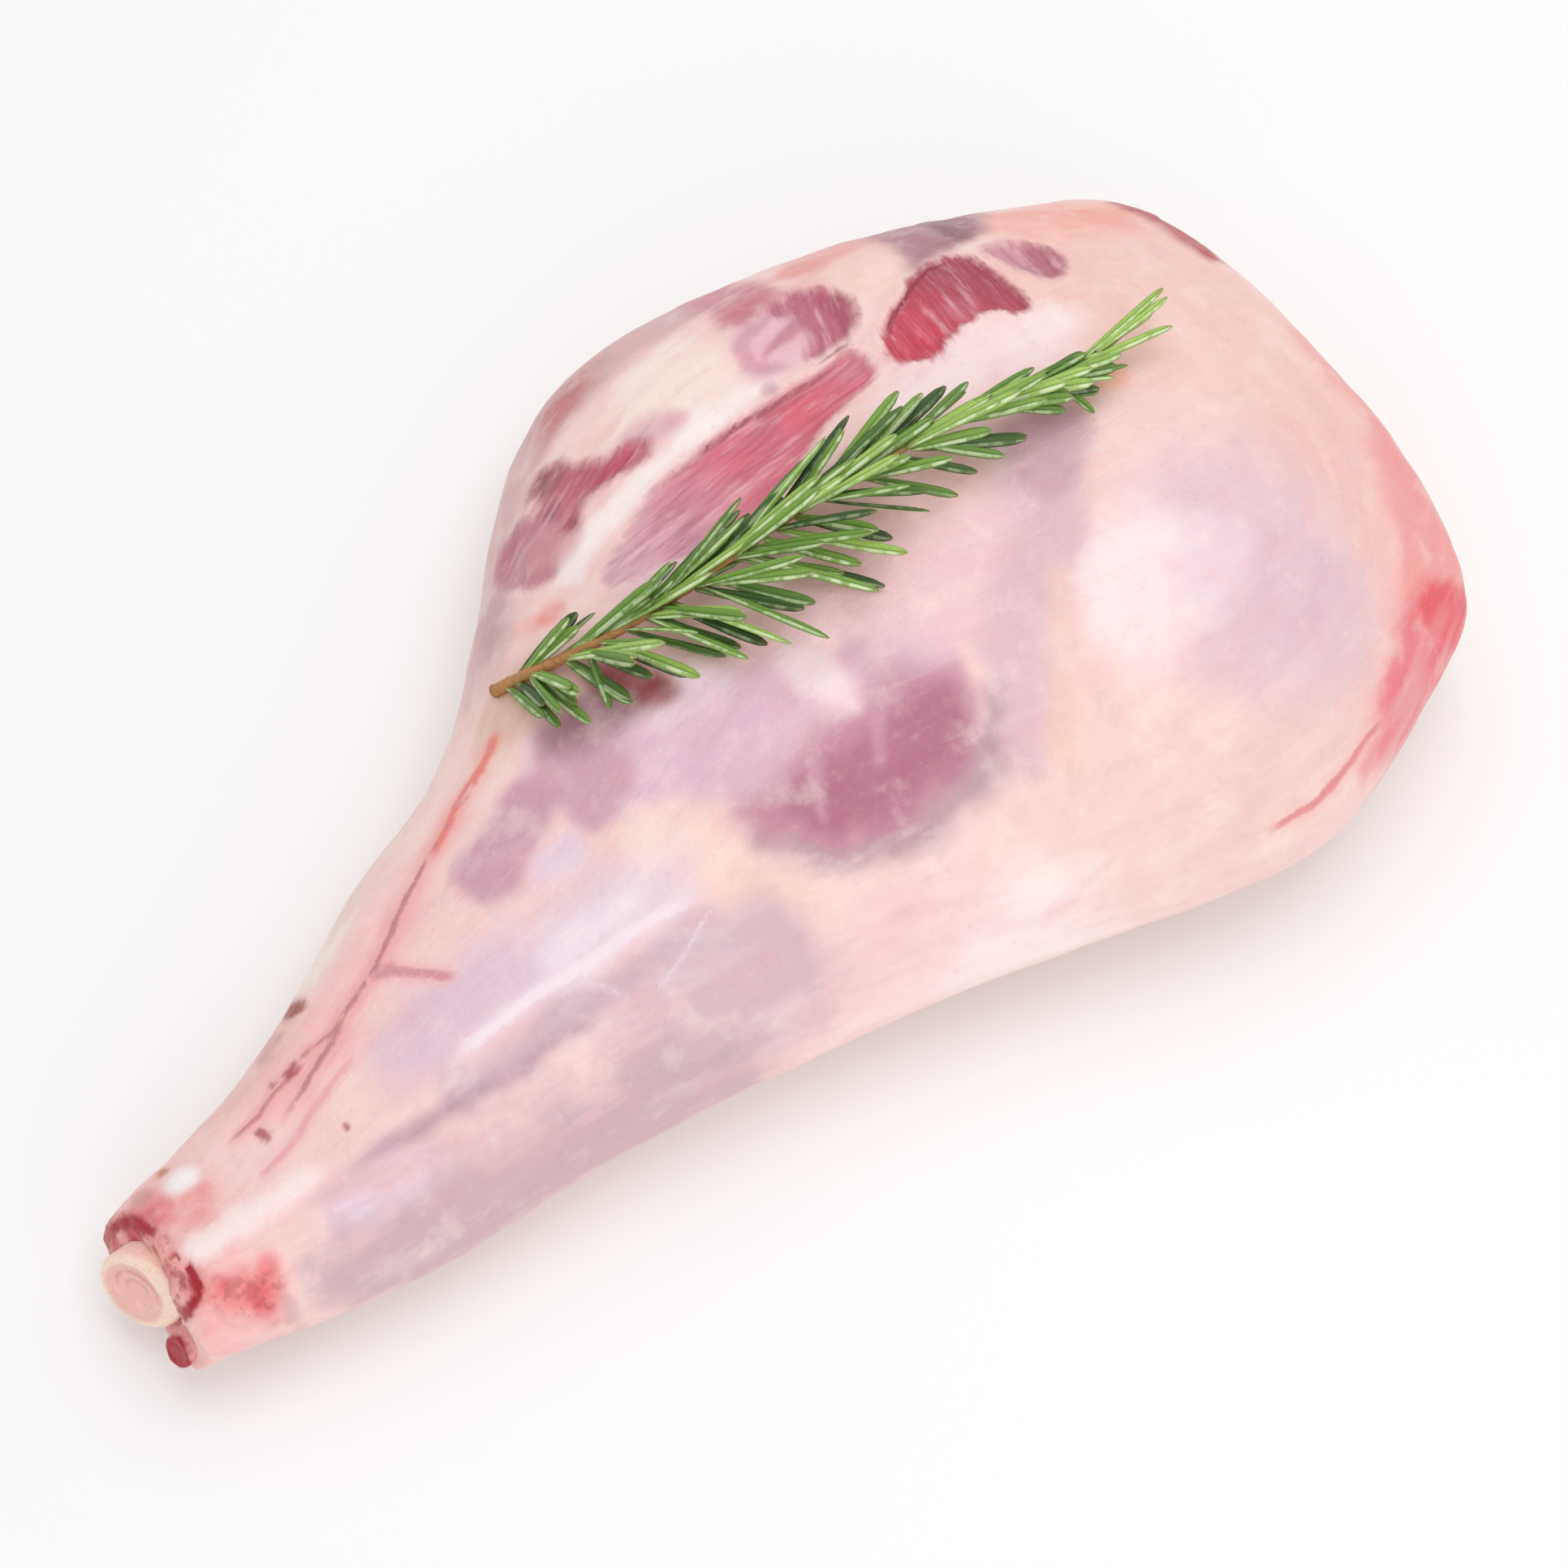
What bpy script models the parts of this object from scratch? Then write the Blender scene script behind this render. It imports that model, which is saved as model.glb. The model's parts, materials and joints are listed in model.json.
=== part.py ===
"""A raw leg of lamb lying on its outer side, with its shank bone and a sprig of rosemary on top.

The leg lies along X, from the sawn shank at -X to the blunt butt at +X. Its thin inner edge is at +Y and
its round outer edge at -Y. It rests on a flattened underside at Z = 0, and the origin is in the middle of
its underside. The leg is laid out in millimetres in its own coordinates (along, across, up), where along
is 0 just outside the shank's end and across is 0 near its ridge. An empty moves the whole to the origin.
"""
import math
import random

import bmesh
import bpy
import numpy as np
from mathutils import Vector
from mathutils.bvhtree import BVHTree

MM = 0.001
GAP = 0.3                      # clearance between pieces that touch

# Cross-sections of the leg: place along it, place of the ridge across it, reach from the ridge to the far
# edge and to the near edge, height of the top, of the widest level and of the underside. An underside
# below 0 is where the soft leg is pressed flat by its weight.
LEG_SECTIONS = (
    (-6, -14, 24, 10, 33, 22, 11),       # beyond the saw cut
    (8, -13, 30, 13, 37, 21, 9),         # shank end
    (34, -9, 31, 24, 42, 21, 5),
    (74, -6, 40, 36, 47, 22, 1),         # thin of the shank
    (112, -2, 55, 43, 54, 24, -1),
    (149, 0, 67, 50, 62, 26, -3),        # top of the calf
    (186, 2, 98, 60, 71, 29, -3),        # knee
    (228, 4, 130, 73, 81, 32, -3),
    (274, 4, 133, 88, 89, 34, -3),       # widest part of the thigh
    (321, 2, 123, 94, 91, 35, -3),
    (356, 0, 110, 81, 84, 34, -3),
    (384, 0, 98, 70, 69, 31, -2),        # butt
)
BUTT_DEPTH = 15                # how far the butt bulges beyond the last section
BUTT_TURNS = (20, 40, 58, 72, 84)   # degrees round that bulge, one for each ring of points
BUTT_SLANT = 0.045             # the butt lies farther along at its far side, by this share of across
BUTT_SLANT_FROM = 300
POINTS_AROUND = 48
RINGS_ALONG = 50
FAR_TOP_POWER = 1.12           # over 1 thins the far side to a wedge, under 1 fills the side out
NEAR_TOP_POWER = 0.95
SIDE_POWER = 0.9
UNDERSIDE_POWER = 0.72
FAR_EDGE_DROP = 0.75           # the far edge is this share of the widest level's height

# Muscles and seams under the skin of fascia: place along and across, half length, half width, heading in
# degrees from +X, and height, which is below 0 for a hollow.
SWELLS = (
    (300, -34, 62, 44, 30, 4.0),         # rump
    (284, 2, 52, 10, 37, -3.2),          # seam between the rump and the round
    (224, -18, 34, 25, 20, 3.0),         # round
    (196, 38, 34, 11, 60, -2.0),         # seam from the round to the far edge
    (254, 66, 60, 15, -2, -2.2),         # bared inner muscle
    (246, 96, 40, 12, 10, 2.2),          # fat over the inner edge
    (158, -22, 46, 13, -8, 2.6),         # calf
    (120, -19, 44, 6, -6, -2.4),         # seam beside the calf
    (152, 18, 26, 9, 62, -2.6),          # hollow inside the knee
    (66, -17, 46, 6, -12, 2.4),          # shin ridge
    (64, 6, 42, 5, 14, -1.8),            # groove of the vein
    (330, -76, 36, 9, 48, -2.6),         # cut seam near the butt
    (352, 44, 24, 30, 0, 2.0),           # fat over the butt
)

# The saw cut across the shank, and the two pieces that show in it.
CUT_POINT = Vector((12, 0, 22))
CUT_NORMAL = Vector((-0.91, 0.08, 0.39)).normalized()
TIBIA_FACE = Vector((9.8, -2.2, 20.6))
TIBIA_NORMAL = Vector((-0.854, -0.322, 0.407)).normalized()
# Centre line and radii of the shank bone, from beyond its saw cut to its head at the knee.
TIBIA = (
    (-2, -4, 21.6, 11.2),
    (10, -2.4, 20.8, 11.2),
    (22, -2, 21.3, 10.4),
    (36, -2, 22.4, 8.7),
    (66, -2, 24, 7.4),
    (100, 0, 26, 7.6),
    (130, 3, 28, 9.2),
    (148, 5, 29, 12.5),
    (162, 6, 30, 13.5),
    (169, 6, 30, 9.0),
)
TIBIA_WIDE = 1.04              # the bone is a little wider than high
TIBIA_RINGS = 28
TIBIA_SIDES = 20
TIBIA_EDGE = 0.9               # rounding of the saw cut's edge
SOCKET_MOUTH = 1.6             # raw gap round the bone where the flesh has drawn back
SOCKET_MOUTH_DEPTH = 7

HEEL_FACE = Vector((8.8, -17.7, 15.5))
HEEL_AXIS = Vector((0.93, 0.08, 0.02)).normalized()
HEEL_RADIUS = 3.3
HEEL_LENGTH = 34
HEEL_SIDES = 14
HEEL_POINT = 4                 # the hidden end narrows over this length
HEEL_SOCKET_BEYOND = 12        # the socket's cutter starts this far outside the stub's face

# The rosemary: its path over the leg, from the woody butt to the tip, with the reach of the needles to
# the far and near side, and the height of the tuft over the leg.
SPRIG_PATH = (
    (166, 63, 1.7, 1.7, 3.6),            # woody butt
    (177, 56, 1.8, 2.5, 4.0),
    (190, 49, 6, 15, 8),
    (204, 45, 8, 22, 11),
    (228, 40, 7, 25, 13),
    (264, 36, 7, 21, 14),
    (298, 31, 7, 16, 13),
    (324, 25, 6, 9, 10),
    (342, 25, 4, 5, 7),
    (357, 29, 2.5, 3, 5),                # tip
)
SPRIG_RINGS = 46
SPRIG_POINTS = 16
SPRIG_GAP = 1.0                # straight down, so that it also clears the slopes
SPRIG_RAGGED = 0.16            # share by which the tuft's reach goes in and out
SPRIG_BARE_UNTIL = 181         # the stem's woody end carries no needles up to here


def curve_through(knots, values, at):
    """Value at a place on the natural cubic curve through the knots."""
    knots = np.asarray(knots, float)
    values = np.asarray(values, float)
    steps = np.diff(knots)
    count = len(knots)
    matrix = np.eye(count)
    bends = np.zeros(count)
    for i in range(1, count - 1):
        matrix[i, i - 1:i + 2] = steps[i - 1], 2 * (steps[i - 1] + steps[i]), steps[i]
        rise_after = (values[i + 1] - values[i]) / steps[i]
        rise_before = (values[i] - values[i - 1]) / steps[i - 1]
        bends[i] = 6 * (rise_after - rise_before)
    bends = np.linalg.solve(matrix, bends)
    k = int(np.clip(np.searchsorted(knots, at) - 1, 0, count - 2))
    width = steps[k]
    left = (knots[k + 1] - at) / width
    right = 1 - left
    curved = ((left ** 3 - left) * bends[k] + (right ** 3 - right) * bends[k + 1]) * width ** 2 / 6
    return float(left * values[k] + right * values[k + 1] + curved)


def along_table(table, at):
    """All columns of a table after its first one, at a place along that first column."""
    columns = list(zip(*table))
    return [curve_through(columns[0], column, at) for column in columns[1:]]


def signed_power(value, power):
    return math.copysign(abs(value) ** power, value)


def swell_height(along, across):
    total = 0.0
    for centre_along, centre_across, half_length, half_width, heading, height in SWELLS:
        c = math.cos(math.radians(heading))
        s = math.sin(math.radians(heading))
        ahead = (along - centre_along) * c + (across - centre_across) * s
        aside = (across - centre_across) * c - (along - centre_along) * s
        total += height * math.exp(-(ahead / half_length) ** 2 - (aside / half_width) ** 2)
    return total


def leg_ring(along):
    """One closed cross-section of the leg."""
    ridge, far, near, top, widest, under = along_table(LEG_SECTIONS, along)
    into_butt = (along - BUTT_SLANT_FROM) / (LEG_SECTIONS[-1][0] - BUTT_SLANT_FROM)
    slant = BUTT_SLANT * max(0, into_butt)
    ring = []
    for k in range(POINTS_AROUND):
        angle = 2 * math.pi * k / POINTS_AROUND
        side = math.cos(angle)
        rise = math.sin(angle)
        across = ridge + (far if side > 0 else near) * signed_power(side, SIDE_POWER)
        level = widest
        if side > 0:
            level *= 1 - (1 - FAR_EDGE_DROP) * side ** 2
        if rise > 0:
            power = FAR_TOP_POWER if side > 0 else NEAR_TOP_POWER
            up = level + (top - level) * rise ** power + swell_height(along, across) * rise
        else:
            up = level - (level - under) * abs(rise) ** UNDERSIDE_POWER
        ring.append(Vector((along + slant * across, across, up)))
    return ring


def skin_rings(mesh, rings, close_ends=True):
    """Faces between neighbouring rings, and over the first and last."""
    loops = [[mesh.verts.new(point * MM) for point in ring] for ring in rings]
    for low, high in zip(loops, loops[1:]):
        for k in range(len(low)):
            after = (k + 1) % len(low)
            mesh.faces.new((low[k], low[after], high[after], high[k]))
    if close_ends:
        mesh.faces.new(reversed(loops[0]))
        mesh.faces.new(loops[-1])
    bmesh.ops.recalc_face_normals(mesh, faces=mesh.faces[:])


def saw_off(mesh, point, normal):
    """Cut away what lies beyond a plane and close the cut. Returns the edges round the cut."""
    geometry = mesh.verts[:] + mesh.edges[:] + mesh.faces[:]
    cut = bmesh.ops.bisect_plane(mesh, geom=geometry, plane_co=point * MM, plane_no=normal,
                                 dist=1e-7, clear_outer=True)
    rim = [item for item in cut["geom_cut"] if isinstance(item, bmesh.types.BMEdge)]
    bmesh.ops.edgeloop_fill(mesh, edges=rim)
    bmesh.ops.recalc_face_normals(mesh, faces=mesh.faces[:])
    return rim


def material(name, colour, roughness):
    made = bpy.data.materials.new(name)
    made.use_nodes = True
    shader = made.node_tree.nodes["Principled BSDF"]
    shader.inputs["Base Color"].default_value = (*colour, 1)
    shader.inputs["Roughness"].default_value = roughness
    shader.inputs["Metallic"].default_value = 0
    return made


def piece(name, mesh, finish, parent):
    """A named object made from a bmesh, in the parent's coordinates."""
    data = bpy.data.meshes.new(name)
    mesh.to_mesh(data)
    mesh.free()
    data.shade_smooth()
    made = bpy.data.objects.new(name, data)
    bpy.context.collection.objects.link(made)
    made.parent = parent
    if finish:
        data.materials.append(finish)
    return made


def leg_bmesh():
    first = LEG_SECTIONS[0][0]
    last = LEG_SECTIONS[-1][0]
    rings = []
    for k in range(RINGS_ALONG + 1):
        share = k / RINGS_ALONG
        rings.append(leg_ring(first + (last - first) * share))
    end = rings[-1]
    middle = sum(end, Vector()) / len(end)
    for angle in BUTT_TURNS:
        turn = math.radians(angle)
        bulge = Vector((BUTT_DEPTH * math.sin(turn), 0, 0))
        rings.append([middle + (point - middle) * math.cos(turn) + bulge for point in end])
    for ring in rings:
        for point in ring:
            point.z = max(point.z, 0)
    mesh = bmesh.new()
    skin_rings(mesh, rings)
    saw_off(mesh, CUT_POINT, CUT_NORMAL)
    return mesh


def tibia_rings(grow, first, last, mouth=0):
    """Rings round the shank bone between two places along it, made thicker by grow."""
    rings = []
    for k in range(TIBIA_RINGS + 1):
        along = first + (last - first) * k / TIBIA_RINGS
        across, up, radius = along_table(TIBIA, along)
        depth = max(0, 1 - (along - CUT_POINT.x) / SOCKET_MOUTH_DEPTH)
        radius += grow + mouth * min(depth, 1.5)
        ring = []
        for n in range(TIBIA_SIDES):
            angle = 2 * math.pi * n / TIBIA_SIDES
            aside = radius * TIBIA_WIDE * math.cos(angle)
            ring.append(Vector((along, across + aside, up + radius * math.sin(angle))))
        rings.append(ring)
    return rings


def cutter(name, mesh, parent):
    made = piece(name, mesh, None, parent)
    made.hide_render = True
    made.display_type = "WIRE"
    return made


def cut_socket(target, tool):
    hole = target.modifiers.new("socket of " + tool.name, "BOOLEAN")
    hole.operation = "DIFFERENCE"
    hole.solver = "EXACT"
    hole.object = tool


def build_leg(parent):
    finish = material("lamb fascia and fat", (0.86, 0.62, 0.57), 0.35)
    return piece("leg_meat", leg_bmesh(), finish, parent)


def build_tibia(leg, parent):
    """The shank bone, sawn off on the slant, in its socket through the shank."""
    start = TIBIA[0][0]
    end = TIBIA[-1][0]
    mesh = bmesh.new()
    skin_rings(mesh, tibia_rings(0, start, end))
    rim = saw_off(mesh, TIBIA_FACE, TIBIA_NORMAL)
    bmesh.ops.bevel(mesh, geom=rim, offset=TIBIA_EDGE * MM, segments=2, affect="EDGES", profile=0.5)
    bone = piece("shank_bone", mesh, material("sawn bone", (0.80, 0.50, 0.42), 0.4), parent)
    socket = bmesh.new()
    skin_rings(socket, tibia_rings(GAP, start, end + 2 * GAP, SOCKET_MOUTH))
    cut_socket(leg, cutter("shank_bone_socket", socket, parent))
    return bone


def heel_rings(grow, beyond):
    aside = HEEL_AXIS.cross(Vector((0, 0, 1))).normalized()
    upward = aside.cross(HEEL_AXIS)
    rings = []
    for place, share in ((-beyond, 1), (HEEL_LENGTH - HEEL_POINT, 1), (HEEL_LENGTH + grow, 0.5)):
        ring = []
        for n in range(HEEL_SIDES):
            angle = 2 * math.pi * n / HEEL_SIDES
            spoke = aside * math.cos(angle) + upward * math.sin(angle)
            ring.append(HEEL_FACE + HEEL_AXIS * place + spoke * (HEEL_RADIUS + grow) * share)
        rings.append(ring)
    return rings


def build_heel(leg, parent):
    """The cut end of the heel tendon with its core of dark marrow, beside the shank bone."""
    mesh = bmesh.new()
    skin_rings(mesh, heel_rings(0, 0))
    stub = piece("heel_stub", mesh, material("dark marrow", (0.30, 0.04, 0.05), 0.35), parent)
    socket = bmesh.new()
    skin_rings(socket, heel_rings(GAP, HEEL_SOCKET_BEYOND))
    cut_socket(leg, cutter("heel_stub_socket", socket, parent))
    return stub


def build_sprig(ground, parent):
    """The rosemary as one closed tuft that lies on the leg, with its bare woody end."""
    first = SPRIG_PATH[0][0]
    last = SPRIG_PATH[-1][0]
    chance = random.Random(11)
    rings = []
    for k in range(SPRIG_RINGS + 1):
        along = first + (last - first) * k / SPRIG_RINGS
        across, far, near, height = along_table(SPRIG_PATH, along)
        step_on = along_table(SPRIG_PATH, min(along + 1, last))[0]
        step_back = along_table(SPRIG_PATH, max(along - 1, first))[0]
        run = min(along + 1, last) - max(along - 1, first)
        heading = Vector((run, step_on - step_back)).normalized()
        bare = along < SPRIG_BARE_UNTIL
        ring = []
        for n in range(SPRIG_POINTS):
            angle = 2 * math.pi * n / SPRIG_POINTS
            side = math.cos(angle)
            rise = math.sin(angle)
            ragged = 1 if bare else 1 + SPRIG_RAGGED * chance.uniform(-1, 0.6)
            reach = max(far if side > 0 else near, 1.0) * side * ragged
            x = along - heading.y * reach
            y = across + heading.x * reach
            base = ground(x, y) + SPRIG_GAP
            tall = height * rise ** 0.8 * (1 + (ragged - 1) * 0.5) if rise > 1e-6 else 0
            ring.append(Vector((x, y, base + tall)))
        rings.append(ring)
    mesh = bmesh.new()
    skin_rings(mesh, rings)
    return piece("rosemary_sprig", mesh, material("rosemary", (0.09, 0.20, 0.05), 0.55), parent)


def height_over(leg):
    """A function that gives the height of the leg's top at a place, in millimetres."""
    mesh = bmesh.new()
    mesh.from_mesh(leg.data)
    tree = BVHTree.FromBMesh(mesh)
    mesh.free()
    above = 0.5

    def ground(along, across):
        hit = tree.ray_cast(Vector((along * MM, across * MM, above)), Vector((0, 0, -1)))
        return hit[0].z / MM

    return ground


def main():
    for old in list(bpy.data.objects):
        bpy.data.objects.remove(old, do_unlink=True)
    whole = bpy.data.objects.new("leg_of_lamb", None)
    bpy.context.collection.objects.link(whole)
    leg = build_leg(whole)
    pieces = [
        leg,
        build_sprig(height_over(leg), whole),
        build_tibia(leg, whole),
        build_heel(leg, whole),
    ]
    corners = [vertex.co for made in pieces for vertex in made.data.vertices]
    middle_x = (min(c.x for c in corners) + max(c.x for c in corners)) / 2
    middle_y = (min(c.y for c in corners) + max(c.y for c in corners)) / 2
    whole.location = (-middle_x, -middle_y, 0)


main()
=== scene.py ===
"""Looks of a raw leg of lamb with a sprig of rosemary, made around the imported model.

Blender's lengths are metres. The leg also has a map of its own in millimetres, in which its features are
placed: along runs from the sawn shank to the butt, across from the near flank to the far edge, and up is
the height over the board.
"""
import itertools
import json
import math

import bmesh
import bpy
import numpy as np
from mathutils import Euler, Matrix, Vector
from mathutils.bvhtree import BVHTree

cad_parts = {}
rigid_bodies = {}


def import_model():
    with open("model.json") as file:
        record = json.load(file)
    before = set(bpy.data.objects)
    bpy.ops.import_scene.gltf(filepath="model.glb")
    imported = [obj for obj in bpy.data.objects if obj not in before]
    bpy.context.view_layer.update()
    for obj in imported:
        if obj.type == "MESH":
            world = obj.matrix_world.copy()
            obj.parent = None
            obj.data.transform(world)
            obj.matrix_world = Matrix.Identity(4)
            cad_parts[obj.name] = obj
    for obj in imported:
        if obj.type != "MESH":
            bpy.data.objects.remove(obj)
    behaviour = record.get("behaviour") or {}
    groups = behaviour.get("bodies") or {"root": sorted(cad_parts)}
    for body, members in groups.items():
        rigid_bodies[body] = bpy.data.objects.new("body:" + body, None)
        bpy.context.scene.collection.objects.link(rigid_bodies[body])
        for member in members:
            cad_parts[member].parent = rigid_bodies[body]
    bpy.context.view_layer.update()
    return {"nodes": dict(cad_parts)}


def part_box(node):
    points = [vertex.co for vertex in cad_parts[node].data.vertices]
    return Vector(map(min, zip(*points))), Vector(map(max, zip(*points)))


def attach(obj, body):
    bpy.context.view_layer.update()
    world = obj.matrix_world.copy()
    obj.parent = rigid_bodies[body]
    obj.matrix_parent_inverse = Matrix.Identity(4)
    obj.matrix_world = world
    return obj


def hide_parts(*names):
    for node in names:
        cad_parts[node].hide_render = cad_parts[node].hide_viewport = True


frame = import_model()

# ---------------------------------------------------------------------------------------------- shank bone
# The shin bone is the core of the shank, and the meat has grown round it. It is sawn through on the slant,
# so that its face shows a hard cream rim, thicker on one side, round moist pink bone with growth rings.
MM = 0.001
SHANK_END_ALONG = 5.24         # place of the meat's lowest corner on the leg's map
NEAR_FLANK_ACROSS = -92.39
leg_low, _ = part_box("leg_meat")
map_origin = np.array((leg_low.x - SHANK_END_ALONG * MM, leg_low.y - NEAR_FLANK_ACROSS * MM, 0))

SAW_FACE = np.array((9.8, -2.2, 20.6))
SAW_NORMAL = np.array((-0.854, -0.322, 0.407))
BONE_RADIUS = 11.2
BONE_VOXEL = 0.7
BONE_ROUNDS = 4
CREAM_RIM = (253, 224, 204)
PINK_BONE = (240, 184, 172)
GROWTH_RING = (214, 140, 132)
SHAFT = (246, 196, 184)


def tint(red, green, blue):
    """A colour from 0 to 255 as linear light."""
    share = np.array((red, green, blue)) / 255
    return np.where(share > 0.04045, ((share + 0.055) / 1.055) ** 2.4, share / 12.92)


def ramp(value, low, high):
    """0 below low, 1 above high, and a soft slope between. It falls instead where low is over high."""
    share = np.clip((value - low) / (high - low), 0, 1)
    return share * share * (3 - 2 * share)


NOISE_TURN = np.array(Euler((0.6, 0.4, 0.7)).to_matrix())      # keeps the noise's cells off the map's axes


def noise(places, size, seed):
    """Smooth noise from -1 to 1, whose features have the given size in millimetres."""
    cell = places @ NOISE_TURN / size + 37.7 * seed
    low = np.floor(cell).astype(np.int64)
    part = cell - low
    part = part * part * (3 - 2 * part)
    total = np.zeros(len(places))
    for corner in itertools.product((0, 1), repeat=3):
        code = ((low + corner) * (73856093, 19349663, 83492791)).sum(1)
        code = ((code ^ (code >> 13)) * 1274126177) & 0xFFFFFFFF
        value = ((code ^ (code >> 16)) & 0xFFFF) / 32767.5 - 1
        total += value * np.where(corner, part, 1 - part).prod(1)
    return total


def new_object(name, data):
    """A new object in the scene."""
    made = bpy.data.objects.new(name, data)
    bpy.context.collection.objects.link(made)
    return made


def remade(name, voxel, *meshes):
    """One closed skin of evenly sized faces round all the given bmeshes, as a new object."""
    data = bpy.data.meshes.new(name)
    joined = bmesh.new()
    for mesh in meshes:
        mesh.to_mesh(data)
        joined.from_mesh(data)
        mesh.free()
    joined.to_mesh(data)
    joined.free()
    made = new_object(name, data)
    skin = made.modifiers.new("skin", "REMESH")
    skin.mode = "VOXEL"
    skin.voxel_size = voxel * MM
    skin.use_smooth_shade = True
    shown = made.evaluated_get(bpy.context.evaluated_depsgraph_get())
    made.data = bpy.data.meshes.new_from_object(shown)
    made.data.name = name
    made.modifiers.clear()
    made.data.materials.clear()
    return made


def node_mesh(node, grow=0.0, shift=(0, 0, 0)):
    """A CAD node as one closed bmesh, made thicker by grow and shifted, both in millimetres."""
    mesh = bmesh.new()
    mesh.from_mesh(frame["nodes"][node].data)
    bmesh.ops.remove_doubles(mesh, verts=mesh.verts, dist=0.01 * MM)
    mesh.normal_update()
    moves = [vert.normal * grow * MM + Vector(shift) * MM for vert in mesh.verts]
    for vert, move in zip(mesh.verts, moves):
        vert.co += move
    return mesh


def places_of(made):
    """The points of an object's mesh on the leg's map."""
    flat = np.empty(len(made.data.vertices) * 3)
    made.data.vertices.foreach_get("co", flat)
    return (flat.reshape(-1, 3) - map_origin) / MM


def normals_of(made):
    flat = np.empty(len(made.data.vertices) * 3)
    made.data.vertices.foreach_get("normal", flat)
    return flat.reshape(-1, 3)


def put_places(made, places):
    made.data.vertices.foreach_set("co", (places * MM + map_origin).ravel())
    made.data.update()


def edge_ends(made):
    """The numbers of the points at the two ends of each edge."""
    ends = np.empty(len(made.data.edges) * 2, np.int32)
    made.data.edges.foreach_get("vertices", ends)
    return ends.reshape(-1, 2).T


def from_neighbours(start, end, values, pull=1.0):
    """The sum of each point's neighbours' values, by the pull of the edge between them."""
    count = len(values)
    return np.bincount(start, pull * values[end], count) + np.bincount(end, pull * values[start], count)


def smoothed(made, places, rounds, share):
    """Places after each point has moved towards the middle of its neighbours, round after round."""
    start, end = edge_ends(made)
    neighbours = from_neighbours(start, end, np.ones(len(places)))
    places = places.copy()
    for _ in range(rounds):
        for axis in range(3):
            column = places[:, axis]
            places[:, axis] = column + share * (from_neighbours(start, end, column) / neighbours - column)
    return places


def paint(made, name, colours):
    """A colour for each point of the mesh."""
    layer = made.data.color_attributes.new(name, "FLOAT_COLOR", "POINT")
    rgba = np.ones((len(colours), 4))
    rgba[:, :3] = colours
    layer.data.foreach_set("color", rgba.ravel())


def write_down(made, name, values):
    """A number, or three numbers, for each point of the mesh."""
    kind, field = ("FLOAT", "value") if values.ndim == 1 else ("FLOAT_VECTOR", "vector")
    layer = made.data.attributes.new(name, kind, "POINT")
    layer.data.foreach_set(field, values.astype(np.float32).ravel())


class Finish:
    """A new material and short words for its nodes. A value is a number, a colour or a node's output."""

    def __init__(self, name):
        self.material = bpy.data.materials.new(name)
        self.material.use_nodes = True
        self.tree = self.material.node_tree
        self.shader = self.tree.nodes["Principled BSDF"]

    def feed(self, socket, value):
        if isinstance(value, bpy.types.NodeSocket):
            self.tree.links.new(value, socket)
        elif socket.type == "RGBA":
            socket.default_value = (*value, 1)
        else:
            socket.default_value = value

    def set(self, **values):
        """Values of the shader's own sockets, with _ for a space."""
        for name, value in values.items():
            self.feed(self.shader.inputs[name.replace("_", " ").title()], value)

    def attribute(self, name):
        made = self.tree.nodes.new("ShaderNodeAttribute")
        made.attribute_name = name
        return made.outputs

    def sum(self, kind, *values):
        made = self.tree.nodes.new("ShaderNodeMath")
        made.operation = kind
        for socket, value in zip(made.inputs, values):
            self.feed(socket, value)
        return made.outputs[0]

    def range(self, value, low, high, low_gives=0.0, high_gives=1.0):
        made = self.tree.nodes.new("ShaderNodeMapRange")
        made.interpolation_type = "SMOOTHSTEP"
        for socket, given in zip(made.inputs, (value, low, high, low_gives, high_gives)):
            self.feed(socket, given)
        return made.outputs[0]

    def mix(self, share, first, second):
        made = self.tree.nodes.new("ShaderNodeMix")
        made.data_type = "RGBA"
        sockets = [socket for socket in made.inputs if socket.type == "RGBA"]
        self.feed(made.inputs[0], share)
        self.feed(sockets[0], first)
        self.feed(sockets[1], second)
        return [socket for socket in made.outputs if socket.type == "RGBA"][0]

    def shaded(self, colour, *layers):
        """A colour under layers: pattern, its values at the layer's start and full, share, and shade."""
        for pattern, low, high, share, shade in layers:
            colour = self.mix(self.range(pattern, low, high, 0, share), colour, tint(*shade))
        return colour

    def scaled(self, vector, scale):
        made = self.tree.nodes.new("ShaderNodeMapping")
        made.inputs["Scale"].default_value = scale
        self.feed(made.inputs["Vector"], vector)
        return made.outputs[0]

    def place(self):
        return self.tree.nodes.new("ShaderNodeTexCoord").outputs["Object"]

    def grain(self, vector, scale, detail=3.0, rough=0.55):
        made = self.tree.nodes.new("ShaderNodeTexNoise")
        self.feed(made.inputs["Vector"], vector)
        made.inputs["Scale"].default_value = scale
        made.inputs["Detail"].default_value = detail
        made.inputs["Roughness"].default_value = rough
        return made.outputs["Fac"]

    def bump(self, height):
        """Relief from a height in millimetres."""
        made = self.tree.nodes.new("ShaderNodeBump")
        made.inputs["Strength"].default_value = 1
        made.inputs["Distance"].default_value = MM
        self.feed(made.inputs["Height"], height)
        self.feed(self.shader.inputs["Normal"], made.outputs[0])


bone = remade("sawn_shank_bone", BONE_VOXEL, node_mesh("shank_bone"))
places = smoothed(bone, places_of(bone), BONE_ROUNDS, 0.5)

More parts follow.
